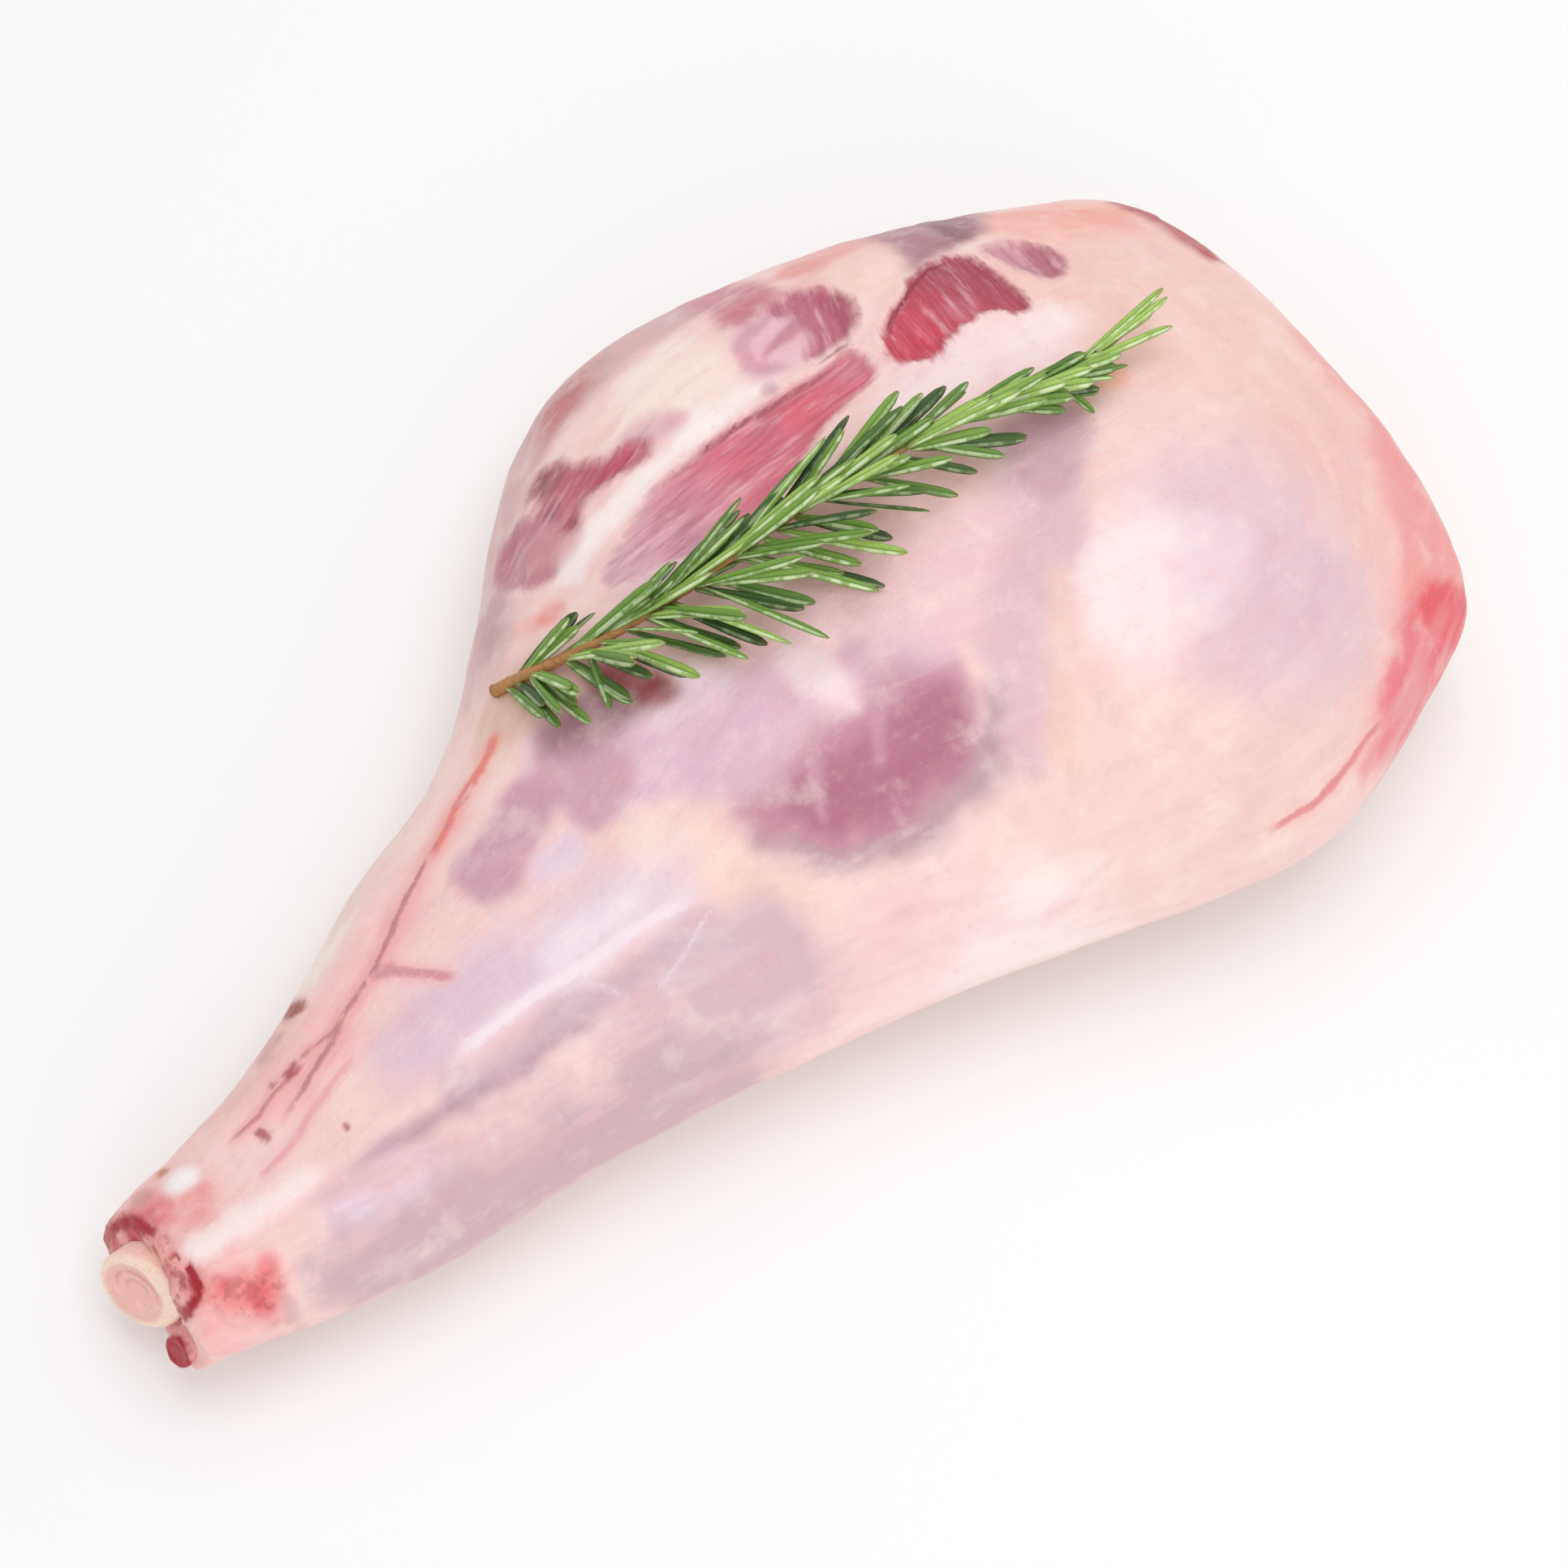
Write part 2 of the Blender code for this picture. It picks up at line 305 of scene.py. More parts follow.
# Flat coordinates on the saw face, from its middle, as shares of the bone's radius.
face_right = np.cross((0, 0, 1), -SAW_NORMAL)
face_right /= np.linalg.norm(face_right)
face_up = np.cross(-SAW_NORMAL, face_right)
from_face = places - SAW_FACE
depth = from_face @ -SAW_NORMAL
face_x = from_face @ face_right / BONE_RADIUS
face_y = from_face @ face_up / BONE_RADIUS
on_face = ramp(depth, 1.2, 0.3)

# The pink middle lies off centre, so the cream rim is a crescent.
heart = np.hypot((face_x - 0.10) * 1.08, (face_y + 0.10) * 1.02)
wobble = 0.05 * noise(places, 4, 1)
inner = ramp(heart + wobble, 0.92, 0.76)
swirl = np.hypot(face_x - 0.04, (face_y - 0.06) * 1.15) + wobble
upper = ramp(face_y + face_x * 0.3, -0.25, 0.35)
rings = ramp(np.abs(swirl - 0.52), 0.07, 0.02) + 0.8 * ramp(np.abs(swirl - 0.26), 0.06, 0.01)
rings = np.clip(rings * upper, 0, 1) * on_face
sunk = 0.45 * inner + 0.20 * rings + 0.12 * noise(places, 1.6, 2)
places -= np.outer(on_face * sunk, SAW_NORMAL)
put_places(bone, places)

colour = np.tile(tint(*CREAM_RIM), (len(places), 1))
colour += np.outer(inner * on_face, tint(*PINK_BONE) - tint(*CREAM_RIM))
colour += np.outer(rings, 0.75 * (tint(*GROWTH_RING) - tint(*PINK_BONE)))
colour += np.outer(1 - on_face, tint(*SHAFT) - tint(*CREAM_RIM))
paint(bone, "tone", np.clip(colour, 0, 1))

sawn = Finish("moist sawn bone")
where = sawn.place()
pores = sawn.grain(where, 900, 4)
blotch = sawn.grain(where, 220, 3)
sawn_colour = sawn.shaded(sawn.attribute("tone")["Color"], (pores, 0.50, 0.75, 0.35, (222, 156, 146)),
                          (blotch, 0.5, 0.75, 0.4, (255, 214, 190)))
sawn.set(base_color=sawn_colour, roughness=sawn.range(pores, 0.3, 0.7, 0.28, 0.5), subsurface_weight=0.2,
         subsurface_radius=(1.0, 0.4, 0.25), subsurface_scale=0.0015, coat_weight=0.3, coat_roughness=0.25)
sawn.bump(sawn.sum("MULTIPLY", pores, 0.25))
bone.data.materials.append(sawn.material)
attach(bone, "root")
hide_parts("shank_bone")

# ------------------------------------------------------------------------------------------ cut heel stub
# Beside the shin bone the heel's stub was cut through on a slant. The cut shows an oval of dark red marrow
# in a thin pale pink rim, and the flesh that holds it has drawn back a little.
HEEL_FACE = np.array((8.8, -17.7, 15.5))
HEEL_RADIUS = 3.3
HEEL_VOXEL = 0.35
HEEL_ROUNDS = 25
HEEL_SPREAD = np.array((1.5, 1.25))       # the stub swells where it was cut
HEEL_NUDGE = np.array((-1.3, 0.6))
HEEL_LEAN = 0.75               # the cut slants back towards the top
MARROW = (170, 8, 30)
PALE_RIM = (236, 164, 162)

heel = remade("cut_heel_stub", HEEL_VOXEL, node_mesh("heel_stub"))
places = smoothed(heel, places_of(heel), HEEL_ROUNDS, 0.5)
from_heel = places - HEEL_FACE
across_stub = np.hypot(from_heel[:, 1], from_heel[:, 2]) / HEEL_RADIUS
front = ramp(places[:, 0], 11.5, 9.5)
places[:, 0] += front * (0.7 * ramp(across_stub, 0.85, 0.45) + 0.2 * noise(places, 1.2, 3))
places[:, 1:] += from_heel[:, 1:] * (HEEL_SPREAD - 1) + HEEL_NUDGE
leans_back = ramp(places[:, 0], 18, 12) * HEEL_LEAN
places[:, 0] += leans_back * from_heel[:, 2] + front * 0.9 * ramp(across_stub, 0.7, 1.1)
put_places(heel, places)
marrow = ramp(across_stub + 0.1 * noise(places, 1.5, 4), 1.0, 0.84) * front
paint(heel, "tone", np.outer(marrow, tint(*MARROW)) + np.outer(1 - marrow, tint(*PALE_RIM)))

wet_core = Finish("wet dark marrow")
lumps = wet_core.grain(wet_core.place(), 700, 4)
core_colour = wet_core.shaded(wet_core.attribute("tone")["Color"], (lumps, 0.48, 0.7, 0.2, (110, 4, 22)))
wet_core.set(base_color=core_colour, roughness=0.25,
             subsurface_weight=0.15, subsurface_radius=(1.0, 0.3, 0.2), subsurface_scale=0.001,
             coat_weight=0.15, coat_roughness=0.15)
wet_core.bump(wet_core.sum("MULTIPLY", lumps, 0.3))
heel.data.materials.append(wet_core.material)
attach(heel, "root")
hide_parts("heel_stub")

# ------------------------------------------------------------------------------------------ meat of the leg
# The meat is muscle in a thin moist skin of fascia and creamy fat. The butcher's knife has bared the inner
# muscles along the far side, and veins, seams and sheer mauve windows show through the fascia. Each point
# of one fine skin is coloured by its place on the leg's map.
LEG_VOXEL = 1.48               # millimetres, which keeps the leg's mesh under 200,000 triangles
LEG_ROUNDS = 46                # rounds of smoothing that take out the facets of the CAD model
LAST_ROUNDS = 5                # rounds that even out the whole leg after that
BONE_SINK = 6                  # the meat closes this far behind the bone's saw face
HEEL_SINK = 3                  # and this far behind the heel's cut
GAP_FILL = 0.9                 # closes the clearance between the meat and the bones
FASCIA = (247, 209, 205)
UNDERSIDE = (246, 216, 206)
REACH = 30                     # millimetres past which a point is simply far from an outline or a line


def close_by(flat, corners):
    """Which points lie near the box round some corners."""
    return ((flat > corners.min(0) - REACH) & (flat < corners.max(0) + REACH)).all(1)


def from_side(spots, start, end):
    """Points' offset from the start of a straight side, the share of it they have passed, and distance."""
    side = end - start
    offset = spots - start
    share = np.clip(offset @ side / (side @ side), 0, 1)
    return offset, share, np.sqrt(((offset - np.outer(share, side)) ** 2).sum(1))


def near_outline(flat, corners):
    """Distance in millimetres from points to a closed outline, above 0 inside it and below 0 outside."""
    distance = np.full(len(flat), -float(REACH))
    chosen = close_by(flat, corners)
    spots = flat[chosen]
    closest = np.full(len(spots), np.inf)
    inside = np.zeros(len(spots), bool)
    for start, end in zip(corners, np.roll(corners, -1, axis=0)):
        offset, _, gap = from_side(spots, start, end)
        closest = np.minimum(closest, gap)
        between = (start[1] > spots[:, 1]) != (end[1] > spots[:, 1])
        with np.errstate(divide="ignore", invalid="ignore"):
            inside ^= between & (offset[:, 0] < (end[0] - start[0]) * offset[:, 1] / (end[1] - start[1]))
    distance[chosen] = np.where(inside, 1, -1) * closest
    return distance


def rounded(points, closed=False, steps=5):
    """A smooth line through the points, as a list of closer points."""
    knots = np.array(points, float)
    before = np.roll(knots, 1, axis=0)
    after = np.roll(knots, -1, axis=0)
    if not closed:
        before[0], after[-1] = knots[0], knots[-1]
    slope = (after - before) / 2
    last = len(knots) if closed else len(knots) - 1
    line = []
    for k in range(last):
        start, end = knots[k], knots[(k + 1) % len(knots)]
        for share in np.arange(steps) / steps:
            cube, square = share ** 3, share ** 2
            line.append((2 * cube - 3 * square + 1) * start + (cube - 2 * square + share) * slope[k]
                        + (3 * square - 2 * cube) * end + (cube - square) * slope[(k + 1) % len(knots)])
    if not closed:
        line.append(knots[-1])
    return np.array(line)


def near_line(flat, line):
    """Distance in millimetres from points to an open line, and share of its length where it is nearest."""
    distance = np.full(len(flat), float(REACH))
    along_line = np.zeros(len(flat))
    chosen = close_by(flat, line)
    spots = flat[chosen]
    closest = np.full(len(spots), np.inf)
    reach = np.zeros(len(spots))
    lengths = np.linalg.norm(np.diff(line, axis=0), axis=1)
    passed = 0.0
    for start, end, length in zip(line, line[1:], lengths):
        _, share, gap = from_side(spots, start, end)
        reach = np.where(gap < closest, (passed + share * length) / lengths.sum(), reach)
        closest = np.minimum(closest, gap)
        passed += length
    distance[chosen] = closest
    along_line[chosen] = reach
    return distance, along_line


leg = remade("lamb_leg", LEG_VOXEL, node_mesh("leg_meat"),
             node_mesh("shank_bone", grow=GAP_FILL, shift=(BONE_SINK, 0, 0)),
             node_mesh("heel_stub", grow=GAP_FILL, shift=(HEEL_SINK, 0, 0)))
places = places_of(leg)
# The smoothing is weaker near the sawn end, whose corners stay.
places = smoothed(leg, places, LEG_ROUNDS, 0.08 + 0.42 * ramp(places[:, 0], 18, 45))
places = smoothed(leg, places, LAST_ROUNDS, 0.5)
# The flesh has drawn back round the cut heel.
round_heel = ramp(places[:, 1], -4, -9) * ramp(places[:, 2], 34, 26)
drawn_to = 10.6 + 0.5 * np.clip(places[:, 2] - 13, 0, 7)
places[:, 0] += round_heel * np.maximum(drawn_to - places[:, 0], 0)
put_places(leg, places)
normals = normals_of(leg)
flat = places[:, :2]
uneven = 0.18 * noise(places, 14, 5) + 0.08 * noise(places, 5, 10)
sideways = 0.35 * np.maximum(-normals[:, 1], 0) - 0.15 * np.maximum(normals[:, 1], 0)
facing_up = ramp(normals[:, 2] + sideways + uneven, -0.3, 0.3)
# Outlines wander a little, as knife work and tissue do.
wander = np.stack([1.3 * noise(places, 11, seed) + 0.7 * noise(places, 4.5, seed + 1)
                   for seed in (11, 13)], 1)
loose = flat + wander

# Which way the fascia's fibres run: place on the map, and heading in degrees from along.
GUIDES = (
    (20, 0, 0), (60, 10, 14), (60, -15, -4), (100, 25, 24), (100, -5, -4), (110, -30, -6), (140, 5, -6),
    (140, 42, 24), (150, -35, -10), (170, 25, -68), (172, -10, -40), (200, 12, -8), (205, -45, -14),
    (215, -20, 20), (245, -5, 48), (200, 62, 4), (245, 64, 4), (285, 66, 0), (212, 92, 18), (240, 110, 6),
    (285, 95, 26), (300, 30, 52), (290, 0, 56), (272, -20, 60), (255, -38, 62), (320, 75, 62),
    (344, 68, -64), (330, 20, 40), (345, -20, 60), (310, -40, 40), (290, -70, 8), (350, -70, 34),
    (375, -40, 70), (375, 30, 80),
)
GUIDE_REACH = 24               # millimetres over which a guide loses most of its pull
lean = np.zeros((len(places), 2))
for along, across, heading in GUIDES:
    closeness = np.exp(-((flat - (along, across)) ** 2).sum(1) / GUIDE_REACH ** 2) + 1e-9
    double = math.radians(2 * heading)      # a line has no sign, so twice its angle is averaged
    lean += closeness[:, None] * (math.cos(double), math.sin(double))
heading = np.arctan2(lean[:, 1], lean[:, 0]) / 2
fibre = np.stack([np.cos(heading), np.sin(heading), np.zeros(len(places))], 1)
fibre -= normals * (fibre * normals).sum(1)[:, None]
fibre /= np.linalg.norm(fibre, axis=1)[:, None] + 1e-9


OWN_PULL = 0.15                # a point's hold on its own value while streaks are drawn out
STREAK_SPREAD = 2.2            # standard deviations that make a full streak


def drawn_out(values, rounds):
    """Random values drawn out into streaks along the fibres, from -1 to 1."""
    start, end = edge_ends(leg)
    way = places[end] - places[start]
    way /= np.linalg.norm(way, axis=1)[:, None] + 1e-9
    pull = np.abs((way * (fibre[start] + fibre[end])).sum(1) / 2) ** 6
    total_pull = from_neighbours(start, end, np.ones(len(values)), pull) + OWN_PULL
    for _ in range(rounds):
        values = (from_neighbours(start, end, values, pull) + OWN_PULL * values) / total_pull
    values = values - values.mean()
    return np.clip(values / (STREAK_SPREAD * values.std()), -1, 1)


chance = np.random.default_rng(3)
streak = drawn_out(chance.normal(size=len(places)), 70)
band = drawn_out(noise(places, 5, 31), 60)

# Soft fields of colour over the fascia: colour, softness of the edge in millimetres, strength, outline.
FIELDS = {
    "butt_peach": ((249, 204, 194), 22, 0.9,
        ((326, 50), (344, 84), (372, 96), (396, 60), (400, -14), (378, -26), (356, 0), (336, 20))),
    "butt_salmon": ((246, 162, 146), 16, 0.9,
        ((350, 90), (362, 94), (378, 88), (388, 78), (380, 66), (364, 66), (354, 74))),
    "butt_corner": ((176, 0, 34), 5, 0.9,
        ((385, 82), (392, 82), (396, 62), (393, 44), (387, 46), (386, 64))),
    "butt_rim": ((244, 150, 146), 9, 0.7,
        ((390, 16), (400, 18), (402, -10), (396, -60), (382, -58), (386, -20), (386, 2))),
    "butt_flush": ((248, 196, 190), 18, 0.9,
        ((352, -18), (376, -14), (372, -48), (352, -74), (330, -80), (344, -58))),
    "butt_lean": ((246, 156, 152), 10, 0.9,
        ((382, -24), (398, -16), (402, -40), (396, -68), (372, -78), (346, -76), (358, -60), (370, -46))),
    "rump_cool": ((230, 200, 208), 22, 0.95,
        ((304, -14), (330, -8), (350, -22), (352, -46), (342, -66), (322, -74), (302, -68), (294, -50),
         (300, -32))),
    "rump_dusk": ((222, 188, 200), 14, 0.8,
        ((318, -40), (334, -36), (346, -46), (342, -60), (324, -62), (314, -52))),
    "rump_lilac": ((240, 218, 226), 12, 0.8, ((300, -24), (318, -20), (328, -34), (312, -46), (300, -42))),
    # Painted highlight: the pale sheen on top of the rump.
    "rump_painted_highlight": ((251, 229, 230), 14, 0.95,
        ((288, -12), (302, -8), (314, -18), (306, -36), (294, -48), (282, -40), (282, -22))),
    "flank_beige": ((244, 212, 204), 18, 0.9,
        ((236, -50), (256, -54), (288, -56), (306, -70), (322, -80), (300, -94), (256, -84), (236, -66))),
    "seam_mauve": ((222, 184, 196), 10, 0.9,
        ((318, 18), (308, 4), (298, -8), (286, -20), (272, -34), (256, -46), (246, -42), (252, -26),
         (260, -12), (272, -2), (282, 8), (290, 18), (304, 26))),
    "seam_fold": ((208, 162, 176), 7, 0.85,
        ((320, 19), (310, 6), (300, 2), (294, 8), (294, 18), (300, 26), (312, 27))),
    "seam_fat": ((246, 202, 188), 10, 0.8,
        ((286, -16), (280, -26), (270, -40), (262, -52), (256, -46), (264, -36), (274, -24), (282, -14))),
    "inner_rose": ((244, 202, 208), 12, 0.9,
        ((218, 24), (250, 24), (280, 18), (288, 8), (270, -4), (256, -12), (244, -6), (236, 6), (222, 8))),
    "strip_side": ((232, 186, 204), 7, 0.9,
        ((206, 58), (224, 54), (244, 54), (240, 47), (222, 46), (204, 50))),
    "sprig_rose": ((254, 230, 232), 10, 0.9,
        ((292, 56), (324, 54), (340, 44), (330, 34), (300, 40), (280, 46))),
    "knee_lilac": ((228, 188, 207), 9, 0.95,
        ((158, 36), (168, 42), (186, 30), (206, 22), (218, 14), (222, 4), (214, -6), (196, -8), (184, 0),
         (174, 8), (160, 12))),
    "knee_light": ((252, 224, 238), 7, 0.8,
        ((186, 27), (200, 28), (210, 22), (208, 16), (196, 17), (186, 20))),
    "round_fat": ((252, 218, 204), 12, 0.95,
        ((158, 8), (172, 4), (180, -6), (186, -22), (196, -40), (190, -48), (178, -36), (168, -18))),
    # Painted highlight: a broad pale sheen on the near flank.
    "flank_painted_highlight": ((253, 236, 234), 18, 0.8,
        ((194, -56), (222, -56), (246, -64), (250, -80), (214, -76), (192, -66))),
    "flank_blush": ((248, 206, 206), 18, 0.9,
        ((182, -36), (200, -42), (228, -50), (216, -62), (188, -60), (176, -48))),
    "calf_lilac": ((236, 214, 224), 16, 0.95,
        ((120, 6), (146, 6), (160, 4), (172, -6), (168, -18), (148, -18), (128, -14), (112, -6))),
    # Painted highlight along the top of the calf's ridge.
    "calf_painted_highlight": ((242, 228, 238), 8, 0.7, ((134, -4), (154, -2), (160, -12), (144, -17), (130, -12))),
    "calf_bluish": ((222, 194, 210), 12, 0.9,
        ((84, 2), (104, 8), (124, 6), (128, -6), (108, -12), (86, -9))),
    "calf_grey": ((205, 178, 190), 9, 0.9,
        ((96, -14), (130, -16), (156, -20), (172, -26), (150, -27), (118, -26), (96, -23))),
    "calf_under": ((209, 180, 190), 14, 0.9,
        ((138, -26), (172, -24), (186, -32), (186, -50), (164, -50), (140, -40))),
    # Painted shade: the dark mauve line in the groove along the shin.
    "shin_groove_painted_shade": ((190, 150, 166), 5, 0.9,
        ((68, -16), (84, -17), (110, -20), (134, -26), (112, -25), (84, -21), (68, -19))),
    "shin_lilac": ((240, 226, 244), 8, 0.9, ((56, -20), (76, -21), (84, -28), (64, -31))),
    "shin_peach": ((228, 186, 192), 7, 0.9,
        ((56, -12), (84, -24), (118, -28), (152, -32), (148, -36), (112, -32), (84, -29), (56, -20))),
    # Painted shade: the lower near flank, darker mauve-grey where it turns away from the light.
    "flank_painted_shade": ((202, 172, 180), 12, 0.95,
        ((46, -28), (84, -31), (120, -34), (160, -42), (156, -62), (110, -54), (54, -44))),
    "shank_cream": ((240, 212, 204), 14, 0.85,
        ((84, 26), (112, 40), (140, 53), (166, 70), (160, 84), (110, 62), (78, 42))),
    "shank_peach": ((238, 186, 176), 10, 0.85,
        ((40, 10), (66, 15), (84, 24), (78, 34), (56, 28), (36, 20))),
    "shank_pink": ((254, 214, 212), 12, 0.9, ((20, 16), (44, 16), (62, 14), (60, -2), (44, -8), (20, -6))),
    "shank_rose": ((252, 196, 197), 10, 0.9,
        ((52, 0), (80, 6), (108, 18), (126, 34), (112, 40), (90, 30), (70, 20), (50, 12))),
    "shank_beige": ((254, 244, 234), 8, 0.8, ((84, 30), (96, 34), (104, 40), (96, 42), (86, 38))),
    # Painted shadow of the sprig's butt on the meat, a brownish beige.
    "sprig_butt_painted_shadow": ((224, 188, 168), 8, 0.9,
        ((150, 46), (160, 44), (172, 50), (182, 60), (170, 66), (156, 58))),
    "thigh_root": ((220, 186, 184), 10, 0.85,
        ((166, 66), (182, 74), (192, 88), (202, 104), (190, 106), (170, 88), (158, 74))),
    "far_flap": ((210, 168, 168), 9, 0.9,
        ((190, 98), (204, 104), (222, 112), (238, 116), (262, 116), (282, 118), (290, 132), (250, 142),
         (214, 132), (196, 114))),
    "far_edge_mauve": ((160, 102, 116), 8, 0.95,
        ((318, 84), (324, 94), (322, 106), (332, 124), (356, 116), (366, 106), (352, 96), (344, 88),
         (334, 86))),
    "far_edge_veil": ((180, 124, 138), 5, 0.7, ((322, 88), (330, 90), (334, 104), (328, 112), (322, 100))),
    "far_edge_dusk": ((108, 40, 66), 5, 0.6, ((336, 88), (343, 92), (350, 108), (344, 118), (338, 106))),
    "far_edge_pink": ((234, 158, 156), 11, 0.9,
        ((294, 100), (298, 116), (312, 124), (324, 114), (318, 98), (304, 92))),
    "far_smear": ((204, 124, 138), 8, 0.9, ((277, 100), (287, 104), (289, 130), (280, 136), (274, 120))),
    "far_coral": ((190, 94, 98), 8, 0.85, ((222, 116), (236, 120), (248, 128), (240, 134), (226, 126))),
    "far_cream": ((251, 230, 220), 10, 0.95,
        ((226, 98), (242, 112), (262, 112), (266, 96), (262, 82), (240, 82), (232, 88))),
    "inner_white": ((254, 240, 238), 5, 0.95,
        ((194, 74), (204, 80), (222, 82), (238, 84), (262, 84), (270, 77), (250, 78), (236, 76), (212, 74),
         (200, 70))),
    "gap_white": ((250, 216, 216), 6, 0.85,
        ((289, 76), (298, 78), (305, 84), (302, 98), (298, 84), (290, 76), (288, 66), (289, 56),
         (294, 58))),
    "peach_gap": ((251, 212, 202), 8, 0.85,
        ((302, 84), (314, 84), (320, 90), (318, 104), (304, 104), (301, 94))),
    "knee_mauve": ((214, 162, 180), 6, 0.9,
        ((158, 22), (158, 30), (162, 38), (170, 43), (178, 42), (184, 34), (180, 26), (177, 18), (174, 12),
         (166, 11), (160, 13))),
    "knee_dusk": ((176, 126, 142), 9, 0.9,
        ((164, 38), (170, 44), (180, 42), (190, 30), (180, 28), (168, 31))),
    "calf_mauve": ((206, 152, 174), 6, 0.95,
        ((128, 23), (131, 14), (137, 12), (144, 17), (151, 20), (158, 25), (158, 33), (151, 35), (143, 32),
         (136, 31), (130, 29))),
    "calf_ice": ((234, 214, 230), 5, 0.8, ((142, 16), (150, 18), (156, 16), (155, 8), (146, 8), (140, 11))),
    "round_veil": ((220, 178, 194), 9, 0.9,
        ((190, 2), (200, -4), (214, -6), (226, -6), (228, 4), (236, 8), (242, -2), (248, -10), (252, -18),
         (230, -24), (206, -20), (190, -12))),
    "round_shadow": ((184, 152, 162), 8, 0.9,
        ((188, -18), (194, -32), (204, -40), (222, -45), (240, -45), (250, -38), (256, -24), (246, -30),
         (230, -34), (206, -30), (196, -18))),
    "round_lobe": ((212, 166, 180), 6, 0.85,
        ((226, -4), (229, 2), (233, 6), (238, 3), (242, -3), (246, -10), (234, -12), (227, -10))),
    "round_mauve": ((196, 132, 154), 9, 0.95,
        ((188, -8), (196, -10), (206, -8), (216, -6), (226, -8), (238, -9), (247, -12), (253, -17),
         (250, -26), (244, -34), (234, -38), (222, -39), (210, -37), (200, -32), (193, -24), (189, -16))),
    "round_deep": ((178, 104, 130), 10, 0.9,
        ((196, -16), (208, -14), (220, -16), (234, -16), (246, -18), (246, -26), (240, -33), (226, -35),
         (212, -34), (202, -28))),
    "butt_wedge": ((234, 74, 88), 5, 0.95,
        ((382, -62), (370, -61), (358, -66), (350, -72), (338, -80), (334, -86), (348, -84), (366, -76),
         (384, -68))),
    "butt_fringe": ((238, 128, 134), 6, 0.8, ((346, -72), (362, -64), (352, -84), (326, -88), (332, -82))),
    "window_veil": ((232, 190, 206), 10, 0.55,
        ((188, -2), (200, -8), (212, -8), (224, -8), (238, -6), (250, -12), (252, -4), (240, 4), (216, 2),
         (200, 2))),
    "tongue": ((253, 232, 236), 6, 0.8,
        ((219, 16), (226, 15), (229, 6), (229, -4), (225, -10), (222, -4), (218, 4))),
    "shank_blood": ((238, 122, 122), 5, 0.8,
        ((20, -17), (28, -19), (35, -21), (38, -25), (34, -31), (27, -29), (21, -23))),
    # A dark red mark on the meat, partly painted shadow of the sprig's needles over it.
    "red_mark_and_sprig_shadow": ((172, 54, 76), 5, 0.9,
        ((184, 46), (190, 46), (196, 39), (197, 28), (192, 26), (187, 33))),
    "lean_arm": ((204, 114, 132), 8, 0.85,
        ((272, 104), (284, 101), (292, 102), (291, 110), (289, 118), (285, 124), (281, 114), (272, 109))),
    "lean_fan": ((236, 186, 200), 6, 0.9,
        ((268, 80), (267, 92), (271, 98), (284, 99), (288, 90), (287, 82), (279, 77))),
    "lean_stroke": ((190, 112, 134), 2.5, 0.8,
        ((271, 87), (277, 91), (285, 92), (289, 89), (284, 87), (277, 87))),
    "lean_stroke_side": ((208, 148, 166), 2.5, 0.75,
        ((273, 78), (268, 83), (266, 91), (270, 97), (279, 99), (284, 97), (276, 95), (271, 91), (271, 85),
         (275, 79))),
    "crescent_veil": ((232, 178, 190), 5, 0.7,
        ((337, 78), (343, 78), (349, 71), (351, 62), (346, 57), (340, 58), (339, 68))),
    "patch_rim": ((198, 138, 148), 3, 0.8,
        ((195, 77), (190, 81), (187, 88), (189, 96), (196, 100), (205, 100), (198, 96), (192, 92),
         (191, 86), (197, 79))),
    "window_ray_left": ((214, 164, 180), 3, 0.55, ((203, -22), (207, -22), (217, -6), (213, -5))),
    "window_ray_right": ((212, 160, 178), 3, 0.55, ((220, -22), (224, -22), (237, -5), (233, -4))),
    "patch_hollow": ((194, 118, 132), 7, 0.85,
        ((191, 96), (200, 97), (206, 90), (206, 82), (199, 78), (193, 79))),
    "patch_tail": ((216, 158, 174), 6, 0.7, ((230, 94), (238, 94), (245, 88), (240, 84), (232, 84))),
}


def lay_on(colours, shade, share):
    """Colours moved towards a shade, by each point's share."""
    return colours + share[:, None] * (tint(*shade) - colours)


fray = 0.22 * noise(places, 9, 20) + 0.10 * noise(places, 3.5, 21) + 0.10 * streak
skin = np.tile(tint(*FASCIA), (len(places), 1))
for shade, soft, strength, outline in FIELDS.values():
    inside = near_outline(loose, rounded(outline, closed=True, steps=3)) + soft * fray
    skin = lay_on(skin, shade, ramp(inside, -soft / 2, soft / 2) * strength * facing_up)

